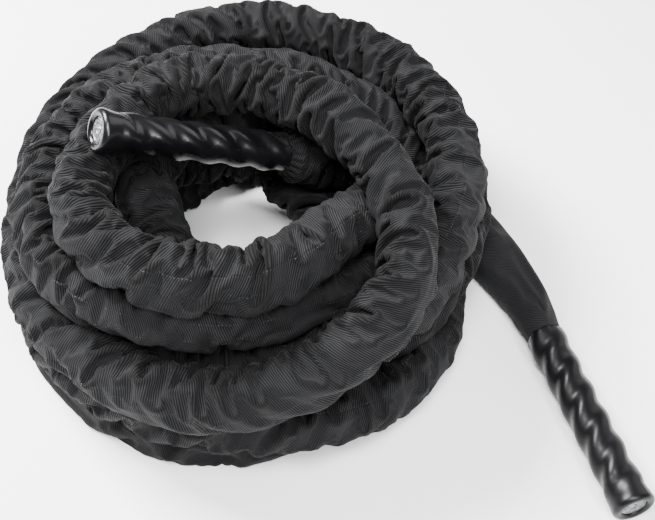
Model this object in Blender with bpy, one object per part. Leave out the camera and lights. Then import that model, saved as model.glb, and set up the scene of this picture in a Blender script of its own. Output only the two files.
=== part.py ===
"""Battle rope: a three-strand training rope in a ruched fabric sleeve, dropped in a loose coiled pile.

Both ends carry a shrink tube grip that shows the rope's lay. Metres, +Z up, standing on z = 0.
"""
import math

import bmesh
import bpy
import numpy as np
from mathutils import Matrix, Vector

# Rope and sleeve
ROPE_DIAMETER = 0.038
SLEEVE_DIAMETER = 0.052
SLEEVE_WALL = 0.0029
NECK_DIAMETER = 0.0445
NECK_WALL = 0.0022
NECK_LENGTH = 0.030
TURN_GAP = 0.001
FLOOR_CUT = SLEEVE_DIAMETER / 10
FIT_GAP = 0.0003
CORE_SIDE_COUNT = 6
SLEEVE_SIDE_COUNT = 6
TAIL_SIDE_COUNT = 8

# Strands inside the grips
STRAND_DIAMETER = 0.0156
STRAND_CIRCLE = 0.0102
STRAND_COUNT = 3
STRAND_SIDE_COUNT = 6
LAY_PITCH = 0.110
LAY_STEPS = 12

# Grips
GRIP_LENGTH = 0.225
GRIP_BORE_RADIUS = 0.0182
GRIP_WALL = 0.0017
LOBE_HEIGHT = 0.00095
LOBE_COLUMNS = 18
CUFF_LENGTH = 0.030
CUFF_WALL = 0.0009
TAPE_LENGTH = 0.020
TAPE_WALL = 0.0009
RAMP_LENGTH = 0.008
LIP_RADIUS = 0.0225
LIP_LENGTH = 0.007
LIP_ROUND = 0.002
LIP_OVERHANG = 0.0008

# End discs
DISC_RADIUS = 0.0163
DISC_THICKNESS = 0.003
DISC_RECESS = 0.0028
DISC_RIM_WIDTH = 0.0024
DISC_RIM_HEIGHT = 0.0006
DISC_CHAMFER = 0.0004
DISC_SEGMENTS = 24

# Pile of turns, clockwise from above, from the upper grip down to the floor
COIL_CENTRE = (-0.105, -0.025)
COIL_REACH = 0.285
COIL_START_DEGREES = 45.0
POINTS_PER_TURN = 24
STATIONS_PER_TURN = 8
REACH_SHARES = (
    (0.54, 0.68, 0.64, 0.44, 0.34, 0.28, 0.29, 0.45),
    (0.86, 0.94, 0.86, 0.79, 0.88, 1.01, 0.97, 0.88),
    (0.79, 0.66, 0.62, 0.58, 0.50, 0.42, 0.35, 0.38),
    (0.52, 0.60, 0.35, 0.33, 0.34, 0.42, 0.60, 0.70),
    (0.60, 0.68, 0.76, 0.69, 0.60, 0.52, 0.72, 0.82),
    (0.92, 0.87, 0.85, 0.83, 0.90, 0.98, 0.95, 0.88),
    (0.80, 0.68, 0.67, 0.61, 0.54, 0.66, 0.64, 0.67),
    (0.72, 0.82, 0.80, 0.83, 0.98, 0.99, 0.96),
)
LAYER_SHARES = (
    (3.50, 3.90, 4.00, 4.05, 4.10, 4.10, 4.10, 4.00),
    (3.10, 2.05, 2.00, 2.05, 2.30, 2.40, 2.35, 2.20),
    (1.70, 1.40, 1.30, 1.25, 1.25, 1.35, 1.30, 1.25),
    (1.60, 2.20, 2.60, 2.80, 2.95, 2.80, 1.70, 1.30),
    (2.00, 2.85, 2.95, 3.05, 3.15, 3.10, 2.20, 0.60),
    (0.50, 1.00, 1.00, 1.10, 1.25, 1.40, 1.35, 1.30),
    (1.25, 0.60, 0.10, 0.00, 0.00, 0.00, 0.00, 0.00),
    (0.00, 0.00, 0.00, 0.00, 0.00, 0.00, 0.00),
)

# Free stretches, chosen by hand
GRIP_A_MOUTH = (-0.0520, 0.0095, 0.1760)
GRIP_A_AIM = (-0.2308, -0.0714, 0.2850)
GRIP_B_MOUTH = (0.2480, -0.1340)
GRIP_B_AIM = (0.3126, -0.3496)
LEAD_POINTS = (
    (0.023, 0.032, 0.144), (0.054, 0.016, 0.145), (0.070, -0.016, 0.151), (0.065, -0.050, 0.163),
    (0.040, -0.092, 0.182),
)
TAIL_POINTS = ((0.127, 0.128), (0.176, 0.036), (0.209, -0.030))

LEAD_STEPS = 2
TAIL_STEPS = 2

# Settling of the pile
SETTLE_ROUNDS = 260
SETTLE_MARGIN = 0.0008
SETTLE_SEARCH = 0.030
SETTLE_REFRESH = 10
SETTLE_SPREAD = 4
PUSH_SHARE = 0.6
EASE_SHARES = (0.25, 0.08)
GAP_SAMPLES = 16

LIP_START = GRIP_LENGTH - LIP_LENGTH
TAPE_START = LIP_START - TAPE_LENGTH
DISC_BOTTOM = GRIP_LENGTH - DISC_RECESS - DISC_THICKNESS
FLOOR_HEIGHT = SLEEVE_DIAMETER / 2 - FLOOR_CUT
LAYER_PITCH = SLEEVE_DIAMETER + TURN_GAP
SLEEVE_BORE = SLEEVE_DIAMETER - 2 * SLEEVE_WALL
NECK_BORE = NECK_DIAMETER - 2 * NECK_WALL
CUT_OVERRUN = SLEEVE_DIAMETER / 4
CUT_DEPTH = SLEEVE_DIAMETER

# Name: colour, roughness, metallic
FINISHES = {
    "sleeve_polyester": ((0.035, 0.035, 0.038), 0.85, 0.0),
    "rope_polyester": ((0.060, 0.058, 0.055), 0.80, 0.0),
    "cuff_polyester": ((0.035, 0.035, 0.038), 0.85, 0.0),
    "cloth_tape": ((0.020, 0.020, 0.020), 0.60, 0.0),
    "shrink_tube": ((0.008, 0.008, 0.009), 0.22, 0.0),
    "silver_plastic": ((0.420, 0.430, 0.440), 0.38, 0.6),
}


def clear_scene():
    for old in list(bpy.data.objects):
        bpy.data.objects.remove(old, do_unlink=True)


def make_material(name):
    colour, roughness, metallic = FINISHES[name]
    material = bpy.data.materials.new(name)
    material.use_nodes = True
    shader = material.node_tree.nodes["Principled BSDF"]
    shader.inputs["Base Color"].default_value = (*colour, 1)
    shader.inputs["Roughness"].default_value = roughness
    shader.inputs["Metallic"].default_value = metallic
    return material


def unit(vector):
    return vector / np.linalg.norm(vector)


def cubic(values, steps, before=None, after=None):
    """Smooth curve through the values, headed for the values before and after if they are given."""
    values = np.asarray(values, float)
    if before is None:
        before = 2 * values[0] - values[1]
    if after is None:
        after = 2 * values[-1] - values[-2]
    knots = np.concatenate([[before], values, [after]])
    curve = []
    for a, b, c, d in zip(knots, knots[1:], knots[2:], knots[3:]):
        for step in range(steps):
            t = step / steps
            square = (2 * a - 5 * b + 4 * c - d) * t ** 2
            cube = (3 * b - a - 3 * c + d) * t ** 3
            curve.append((2 * b + (c - a) * t + square + cube) / 2)
    curve.append(values[-1])
    return np.array(curve)


def arc_lengths(route):
    return np.concatenate([[0], np.cumsum(np.linalg.norm(np.diff(route, axis=0), axis=1))])


def coil_points():
    """The turns of the pile, from the reach and the layer of each station on the way round."""
    steps = POINTS_PER_TURN // STATIONS_PER_TURN
    reaches = cubic([share * COIL_REACH for turn in REACH_SHARES for share in turn], steps)
    heights = cubic([share * LAYER_PITCH for turn in LAYER_SHARES for share in turn], steps)
    points = []
    for index, (reach, height) in enumerate(zip(reaches, heights)):
        angle = math.radians(COIL_START_DEGREES + index * 360 / POINTS_PER_TURN)
        x = COIL_CENTRE[0] + reach * math.cos(angle)
        y = COIL_CENTRE[1] - reach * math.sin(angle)
        points.append((x, y, FLOOR_HEIGHT + max(height, 0)))
    return np.array(points)


def grip_axes():
    """Mouth and direction of each grip, from the mouth to the outer end."""
    mouth_a = np.array(GRIP_A_MOUTH)
    along_a = unit(np.array(GRIP_A_AIM) - mouth_a)
    mouth_b = np.array((*GRIP_B_MOUTH, LIP_RADIUS))
    along_b = unit(np.array((*GRIP_B_AIM, LIP_RADIUS)) - mouth_b)
    return {"a": (mouth_a, along_a), "b": (mouth_b, along_b)}


def straight_run(mouth, along):
    """Points of the straight stretch, one sleeve diameter long, that leaves a grip's mouth."""
    offsets = (FIT_GAP, NECK_LENGTH, SLEEVE_DIAMETER)
    return [mouth - along * offset for offset in offsets]


def near_pairs(samples, lengths):
    """Pairs of samples near each other in space but not along the rope."""
    reach = LAYER_PITCH + SETTLE_SEARCH
    firsts = []
    seconds = []
    for index in range(len(samples)):
        gaps = np.linalg.norm(samples[index + 1:] - samples[index], axis=1)
        far_along = lengths[index + 1:] - lengths[index] > 3 * SLEEVE_DIAMETER
        found = np.nonzero((gaps < reach) & far_along)[0] + index + 1
        firsts.extend([index] * len(found))
        seconds.extend(found)
    return np.array(firsts), np.array(seconds)


def settle(route, held):
    """Eases passes of the rope that lie too near apart, and spreads each push along the rope."""
    count = len(route)
    parts = np.tile(np.arange(SETTLE_SPREAD) / SETTLE_SPREAD, count - 1)
    owners = np.repeat(np.arange(count - 1), SETTLE_SPREAD)
    free = np.ones((count, 1))
    free[held] = 0
    shift = np.zeros_like(route)
    target = LAYER_PITCH + SETTLE_MARGIN
    for turn in range(SETTLE_ROUNDS):
        moved = route + shift
        samples = moved[owners] * (1 - parts)[:, None] + moved[owners + 1] * parts[:, None]
        if turn % SETTLE_REFRESH == 0:
            firsts, seconds = near_pairs(samples, arc_lengths(samples))
        between = samples[firsts] - samples[seconds]
        distance = np.maximum(np.linalg.norm(between, axis=1), FIT_GAP)
        lack = np.maximum(target - distance, 0)
        push = between * (lack / distance)[:, None]
        hits = np.zeros(len(samples))
        moves = np.zeros_like(samples)
        for side, sign in ((firsts, 1), (seconds, -1)):
            np.add.at(moves, side, sign * push)
            np.add.at(hits, side, lack > 0)
        moves /= np.maximum(hits, 1)[:, None]
        total = np.zeros_like(route)
        weight = np.zeros(count)
        for offset, portion in ((0, 1 - parts), (1, parts)):
            np.add.at(total, owners + offset, moves * portion[:, None])
            np.add.at(weight, owners + offset, portion * (hits > 0))
        shift += free * total * PUSH_SHARE / np.maximum(weight, 1)[:, None]
        ease = EASE_SHARES[0] if 2 * turn < SETTLE_ROUNDS else EASE_SHARES[1]
        middle = (shift[:-2] + shift[2:]) / 2
        shift[1:-1] += ease * (middle - shift[1:-1])
        shift *= free
        shift[:, 2] = np.maximum(shift[:, 2], FLOOR_HEIGHT - route[:, 2])
    return route + shift


def least_distance(route):
    """Least distance of the centre line to another pass of itself, on points along it."""
    parts = np.tile(np.arange(GAP_SAMPLES) / GAP_SAMPLES, len(route) - 1)
    owners = np.repeat(np.arange(len(route) - 1), GAP_SAMPLES)
    samples = route[owners] * (1 - parts)[:, None] + route[owners + 1] * parts[:, None]
    firsts, seconds = near_pairs(samples, arc_lengths(samples))
    return np.linalg.norm(samples[firsts] - samples[seconds], axis=1).min()


def rope_route():
    """The whole centre line from grip to grip, and how many of its points lie in the coil's tube."""
    axes = grip_axes()
    start = straight_run(*axes["a"])
    coil = coil_points()
    finish = straight_run(*axes["b"])[::-1]
    lead = cubic([start[-1], *np.array(LEAD_POINTS), coil[0]], LEAD_STEPS, start[0], coil[2])[1:-1]
    floor_points = [(*point, FLOOR_HEIGHT) for point in TAIL_POINTS]
    tail = cubic([coil[-1], *np.array(floor_points), finish[0]], TAIL_STEPS, coil[-3], finish[-1])[1:-1]
    route = np.vstack([start, lead, coil, tail, finish])
    held = [*range(len(start)), *range(-len(finish) - len(floor_points), 0)]
    settled = settle(route, held)
    coil_count = len(start) + len(lead) + len(coil)
    return settled, coil_count


def tube(name, route, diameter, sides, material, widths=None, capped=True):
    """Tube with flat ends along a route; widths scale its radius point by point."""
    data = bpy.data.curves.new(name, "CURVE")
    data.dimensions = "3D"
    data.twist_mode = "Z_UP"
    data.bevel_depth = diameter / 2
    data.bevel_resolution = sides // 2 - 2
    data.use_fill_caps = capped
    spline = data.splines.new("POLY")
    spline.points.add(len(route) - 1)
    for index, point in enumerate(route):
        spline.points[index].co = (*point, 1)
        spline.points[index].radius = 1 if widths is None else widths[index]
    spline.use_smooth = True
    data.materials.append(make_material(material))
    item = bpy.data.objects.new(name, data)
    bpy.context.collection.objects.link(item)
    return item


def as_mesh(item):
    """The same piece as a mesh object instead of a curve."""
    bpy.context.view_layer.update()
    shown = item.evaluated_get(bpy.context.evaluated_depsgraph_get())
    mesh = bpy.data.meshes.new_from_object(shown)
    name = item.name
    bpy.data.objects.remove(item, do_unlink=True)
    shell = bpy.data.objects.new(name, mesh)
    bpy.context.collection.objects.link(shell)
    return shell


def cut_square(item, low, high):
    """Cuts an open tube off flat at two heights and closes it there."""
    solid = as_mesh(item)
    shape = bmesh.new()
    shape.from_mesh(solid.data)
    for height, facing in ((low, -1), (high, 1)):
        whole = shape.verts[:] + shape.edges[:] + shape.faces[:]
        cut = bmesh.ops.bisect_plane(shape, geom=whole, plane_co=(0, 0, height), plane_no=(0, 0, facing),
                                     clear_outer=True)
        edges = [part for part in cut["geom_cut"] if isinstance(part, bmesh.types.BMEdge)]
        bmesh.ops.edgeloop_fill(shape, edges=edges)
    bmesh.ops.recalc_face_normals(shape, faces=shape.faces)
    shape.to_mesh(solid.data)
    shape.free()
    solid.data.set_sharp_from_angle(angle=math.radians(50))
    return solid


def necked(route, neck, diameter, neck_diameter):
    """Share of the diameter at each point, drawn in towards a neck at one end of the route."""
    lengths = arc_lengths(route)
    least = neck_diameter / diameter
    away = np.minimum(np.abs(lengths - lengths[neck]) / NECK_LENGTH, 1)
    return least + (1 - least) * away ** 2


def guide(item):
    """Leaves a cutter out of the model."""
    item.hide_render = True
    item.display_type = "WIRE"
    return item


def cut(item, cutter):
    cut_off = item.modifiers.new(cutter.name, "BOOLEAN")
    cut_off.operation = "DIFFERENCE"
    cut_off.solver = "EXACT"
    cut_off.object = cutter


def make_floor_cutter(route):
    """Block below the floor, which cuts the lowest turns flat."""
    low = route.min(axis=0) - SLEEVE_DIAMETER
    high = route.max(axis=0) + SLEEVE_DIAMETER
    size = (high[0] - low[0], high[1] - low[1], CUT_DEPTH)
    centre = ((low[0] + high[0]) / 2, (low[1] + high[1]) / 2, -CUT_DEPTH / 2)
    mesh = bpy.data.meshes.new("floor_cutter")
    shape = bmesh.new()
    place = Matrix.Translation(centre) @ Matrix.Diagonal((*size, 1))
    bmesh.ops.create_cube(shape, size=1, matrix=place)
    shape.to_mesh(mesh)
    shape.free()
    cutter = bpy.data.objects.new("floor_cutter", mesh)
    bpy.context.collection.objects.link(cutter)
    return guide(cutter)


def make_sleeve_part(name, route, neck, sides, floor_cutter):
    """One length of the sleeve: a tube with a plainer bore, necked at a grip and flat on the floor."""
    widths = necked(route, neck, SLEEVE_DIAMETER, NECK_DIAMETER)
    sleeve = as_mesh(tube(name, route, SLEEVE_DIAMETER, sides, "sleeve_polyester", widths))
    first = route[0] + unit(route[0] - route[1]) * CUT_OVERRUN
    last = route[-1] + unit(route[-1] - route[-2]) * CUT_OVERRUN
    through = np.vstack([first, route, last])
    bores = necked(route, neck, SLEEVE_BORE, NECK_BORE)
    bores = [bores[0], *bores, bores[-1]]
    bore = tube(name + "_bore", through, SLEEVE_BORE, SLEEVE_SIDE_COUNT, "sleeve_polyester", bores)
    bore = guide(as_mesh(bore))
    cut(sleeve, bore)
    cut(sleeve, floor_cutter)
    return [sleeve, bore]


def make_sleeve(route, coil_count):
    """The sleeve: one tube round the coil and one along the free stretch to the lower grip."""
    cutter = make_floor_cutter(route)
    joint = (route[coil_count - 1] + route[coil_count]) / 2
    ahead = unit(route[coil_count] - joint)
    coil_route = np.vstack([route[:coil_count], joint])
    tail_route = np.vstack([joint + ahead * FIT_GAP, route[coil_count:]])
    pieces = make_sleeve_part("sleeve_coil", coil_route, 0, SLEEVE_SIDE_COUNT, cutter)
    pieces += make_sleeve_part("sleeve_tail", tail_route, -1, TAIL_SIDE_COUNT, cutter)
    return [*pieces, cutter]


def make_core(route):
    """The rope itself, inside the sleeve from one grip's mouth to the other's."""
    return tube("rope_core", route, ROPE_DIAMETER, CORE_SIDE_COUNT, "rope_polyester")


def seat(item, mouth, along):
    """Places a piece modelled on +Z with its foot at the origin on a grip's axis."""
    item.location = mouth
    item.rotation_euler = Vector(along).to_track_quat("Z", "Y").to_euler()
    return item


def lay_heights(low, high):
    """Heights between two ends that fall in step with the rope's lay."""
    pitch = LAY_PITCH / LAY_STEPS
    first = math.floor(low / pitch) + 1
    last = math.ceil(high / pitch) - 1
    inner = [step * pitch for step in range(first, last + 1)]
    room = pitch / 4
    inner = [height for height in inner if low + room < height < high - room]
    return [low, *inner, high]


def make_strands(side, mouth, along):
    """The rope's three strands, laid right-handed round each other inside a grip."""
    top = DISC_BOTTOM - FIT_GAP
    strands = []
    for number in range(STRAND_COUNT):
        points = []
        for height in lay_heights(-STRAND_DIAMETER, top + STRAND_DIAMETER):
            angle = 2 * math.pi * (height / LAY_PITCH + number / STRAND_COUNT)
            points.append((STRAND_CIRCLE * math.cos(angle), STRAND_CIRCLE * math.sin(angle), height))
        name = f"strand_{side}_{number + 1}"
        strand = tube(name, points, STRAND_DIAMETER, STRAND_SIDE_COUNT, "rope_polyester", capped=False)
        strands.append(seat(cut_square(strand, 0, top), mouth, along))
    return strands


def ring(height, radii, turned_at):
    """Ring of a grip at a height, turned as the lay is at another height."""
    turn = 2 * math.pi * turned_at / LAY_PITCH
    points = []
    for column, radius in enumerate(radii):
        angle = 2 * math.pi * column / LOBE_COLUMNS + turn
        points.append((radius * math.cos(angle), radius * math.sin(angle), height))
    return points


def lobed_ring(height, offset):
    """Ring swollen over each strand, a given way outside the bore."""
    radii = []
    for column in range(LOBE_COLUMNS):
        lobe = math.cos(STRAND_COUNT * 2 * math.pi * column / LOBE_COLUMNS)
        radii.append(GRIP_BORE_RADIUS + offset + LOBE_HEIGHT * lobe)
    return ring(height, radii, height)


def lip_ring(height, radius):
    return ring(height, [radius] * LOBE_COLUMNS, LIP_START)


def join_rings(name, rings, material):
    """Closed shell through a loop of rings; each face is split along its shorter diagonal."""
    shape = bmesh.new()
    loops = [[shape.verts.new(point) for point in points] for points in rings]
    for first, second in zip(loops, loops[1:] + loops[:1]):
        for column in range(LOBE_COLUMNS):
            following = (column + 1) % LOBE_COLUMNS
            corners = [first[column], first[following], second[following], second[column]]
            rising = (corners[0].co - corners[2].co).length
            falling = (corners[1].co - corners[3].co).length
            if falling < rising:
                corners = corners[1:] + corners[:1]
            shape.faces.new(corners[:3])
            shape.faces.new((corners[0], *corners[2:]))
    bmesh.ops.recalc_face_normals(shape, faces=shape.faces)
    mesh = bpy.data.meshes.new(name)
    shape.to_mesh(mesh)
    shape.free()
    mesh.shade_smooth()
    mesh.set_sharp_from_angle(angle=math.radians(50))
    mesh.materials.append(make_material(material))
    item = bpy.data.objects.new(name, mesh)
    bpy.context.collection.objects.link(item)
    return item


def end_heights():
    """Heights of the rings that a grip, its cuff and its tape share, one at each end of a ramp."""
    stops = [0, CUFF_LENGTH, CUFF_LENGTH + RAMP_LENGTH, TAPE_START - RAMP_LENGTH, TAPE_START, LIP_START]
    heights = [0]
    for low, high in zip(stops, stops[1:]):
        heights += lay_heights(low, high)[1:]
    return heights


def make_band(name, low, high, wall, material, mouth, along):
    """Thin lobed band bound round the strands between two heights of a grip."""
    heights = [height for height in end_heights() if low <= height <= high]
    outer = [lobed_ring(height, wall) for height in heights]
    inner = [lobed_ring(height, 0) for height in reversed(heights)]
    return seat(join_rings(name, outer + inner, material), mouth, along)


def grip_offset(height):
    """How far the tube's bore stands off the strands, over the cuff, the free part and the tape."""
    over_cuff = 1 - min(max((height - CUFF_LENGTH) / RAMP_LENGTH, 0), 1)
    over_tape = 1 - min(max((TAPE_START - height) / RAMP_LENGTH, 0), 1)
    return over_cuff * (CUFF_WALL + FIT_GAP) + over_tape * (TAPE_WALL + FIT_GAP)


def make_grip(side, mouth, along):
    """Shrink tube over the strands: lobed along the lay, with a round lip over the end disc."""
    heights = end_heights()
    hole = (DISC_RADIUS + FIT_GAP) / math.cos(math.pi / LOBE_COLUMNS)
    outer = [lobed_ring(height, grip_offset(height) + GRIP_WALL) for height in heights]
    lip = [
        lip_ring(LIP_START + LIP_ROUND, LIP_RADIUS),
        lip_ring(GRIP_LENGTH - LIP_ROUND, LIP_RADIUS),
        lip_ring(GRIP_LENGTH, LIP_RADIUS - LIP_ROUND),
        lip_ring(GRIP_LENGTH, hole + LIP_OVERHANG),
        lip_ring(GRIP_LENGTH - DISC_RECESS / 2, hole),
        lip_ring(DISC_BOTTOM, hole),
        lobed_ring(DISC_BOTTOM, grip_offset(LIP_START)),
    ]
    inner = [lobed_ring(height, grip_offset(height)) for height in reversed(heights)]
    return seat(join_rings(f"grip_{side}", outer + lip + inner, "shrink_tube"), mouth, along)


def make_disc(side, mouth, along):
    """Round plug recessed in the grip's end, with a raised rim."""
    top = DISC_BOTTOM + DISC_THICKNESS
    rim_inside = DISC_RADIUS - DISC_RIM_WIDTH
    profile = [
        (0, DISC_BOTTOM),
        (DISC_RADIUS - DISC_CHAMFER, DISC_BOTTOM),
        (DISC_RADIUS, DISC_BOTTOM + DISC_CHAMFER),
        (DISC_RADIUS, top - DISC_CHAMFER),
        (DISC_RADIUS - DISC_CHAMFER, top),
        (rim_inside, top),
        (rim_inside - DISC_RIM_HEIGHT, top - DISC_RIM_HEIGHT),
        (0, top - DISC_RIM_HEIGHT),
    ]
    shape = bmesh.new()
    verts = [shape.verts.new((radius, 0, height)) for radius, height in profile]
    edges = [shape.edges.new(pair) for pair in zip(verts, verts[1:])]
    bmesh.ops.spin(shape, geom=verts + edges, axis=(0, 0, 1), cent=(0, 0, 0), steps=DISC_SEGMENTS,
                   angle=2 * math.pi)
    bmesh.ops.remove_doubles(shape, verts=shape.verts, dist=DISC_CHAMFER / 10)
    bmesh.ops.recalc_face_normals(shape, faces=shape.faces)
    name = f"end_disc_{side}"
    mesh = bpy.data.meshes.new(name)
    shape.to_mesh(mesh)
    shape.free()
    mesh.shade_smooth()
    mesh.set_sharp_from_angle(angle=math.radians(30))
    mesh.materials.append(make_material("silver_plastic"))
    item = bpy.data.objects.new(name, mesh)
    bpy.context.collection.objects.link(item)
    return seat(item, mouth, along)


def make_end(side, mouth, along):
    """Everything at one end of the rope, outwards from the strands."""
    pieces = make_strands(side, mouth, along)
    pieces += [
        make_band(f"sleeve_cuff_{side}", 0, CUFF_LENGTH, CUFF_WALL, "cuff_polyester", mouth, along),
        make_band(f"end_tape_{side}", TAPE_START, LIP_START, TAPE_WALL, "cloth_tape", mouth, along),
        make_grip(side, mouth, along),
        make_disc(side, mouth, along),
    ]
    return pieces


def stand_on_origin(pieces):
    """Carries every piece on one empty, with the middle of the whole's floor print at the origin."""
    bpy.context.view_layer.update()
    depsgraph = bpy.context.evaluated_depsgraph_get()
    corners = []
    for piece in pieces:
        if piece.hide_render:
            continue
        shown = piece.evaluated_get(depsgraph)
        mesh = shown.to_mesh()
        corners += [shown.matrix_world @ vert.co for vert in mesh.vertices]
        shown.to_mesh_clear()
    corners = np.array(corners)
    low, high = corners.min(axis=0), corners.max(axis=0)
    carrier = bpy.data.objects.new("battle_rope", None)
    bpy.context.collection.objects.link(carrier)
    carrier.location = (-(low[0] + high[0]) / 2, -(low[1] + high[1]) / 2, -low[2])
    for piece in pieces:
        piece.parent = carrier
    print("carrier at", [round(value, 5) for value in carrier.location])
    return carrier


def main():
    clear_scene()
    route, coil_count = rope_route()
    pieces = make_sleeve(route, coil_count)
    pieces.append(make_core(route))
    for side, (mouth, along) in grip_axes().items():
        pieces += make_end(side, mouth, along)
    stand_on_origin(pieces)
    gap = least_distance(route) - SLEEVE_DIAMETER
    total = arc_lengths(route)[-1] + 2 * GRIP_LENGTH
    print(f"least gap of the sleeve to itself {1000 * gap:.2f} mm")
    print(f"rope length with its grips {total:.2f} m")


main()
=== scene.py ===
import math

import bmesh
import bpy
import numpy as np
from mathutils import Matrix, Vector


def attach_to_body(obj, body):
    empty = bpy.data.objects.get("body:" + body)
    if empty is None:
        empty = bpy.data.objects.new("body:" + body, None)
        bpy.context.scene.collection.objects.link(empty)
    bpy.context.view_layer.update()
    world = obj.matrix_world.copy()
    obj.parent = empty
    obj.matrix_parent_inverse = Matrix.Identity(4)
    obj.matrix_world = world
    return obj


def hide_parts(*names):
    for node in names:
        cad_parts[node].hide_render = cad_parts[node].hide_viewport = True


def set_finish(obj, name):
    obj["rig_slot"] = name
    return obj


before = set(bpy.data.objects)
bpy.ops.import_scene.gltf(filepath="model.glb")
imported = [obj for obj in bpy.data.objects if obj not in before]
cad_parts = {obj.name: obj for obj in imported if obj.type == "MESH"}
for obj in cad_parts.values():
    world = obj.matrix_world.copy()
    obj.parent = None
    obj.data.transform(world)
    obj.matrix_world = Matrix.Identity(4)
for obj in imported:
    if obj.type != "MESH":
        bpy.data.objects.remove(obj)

# Battle rope: a laid training rope in a gathered fabric sleeve, dropped in a loose coiled pile.
# All lengths are in metres, in the CAD's frame, where nothing else is said.

bl_info = {
    "name": "Battle rope",
    "version": (1, 0, 0),
    "blender": (4, 5, 0),
    "location": "View3D > Sidebar > Battle rope",
    "description": "Dresses the battle rope: gathered sleeve, laid rope, shrink tube grips and stage",
    "category": "Object",
}

MM = 0.001

# Smallest length that a distance is divided by
TINY = 1e-9

# The most triangles that one piece of the sleeve may have
PIECE_TRIANGLES = 190000

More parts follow.
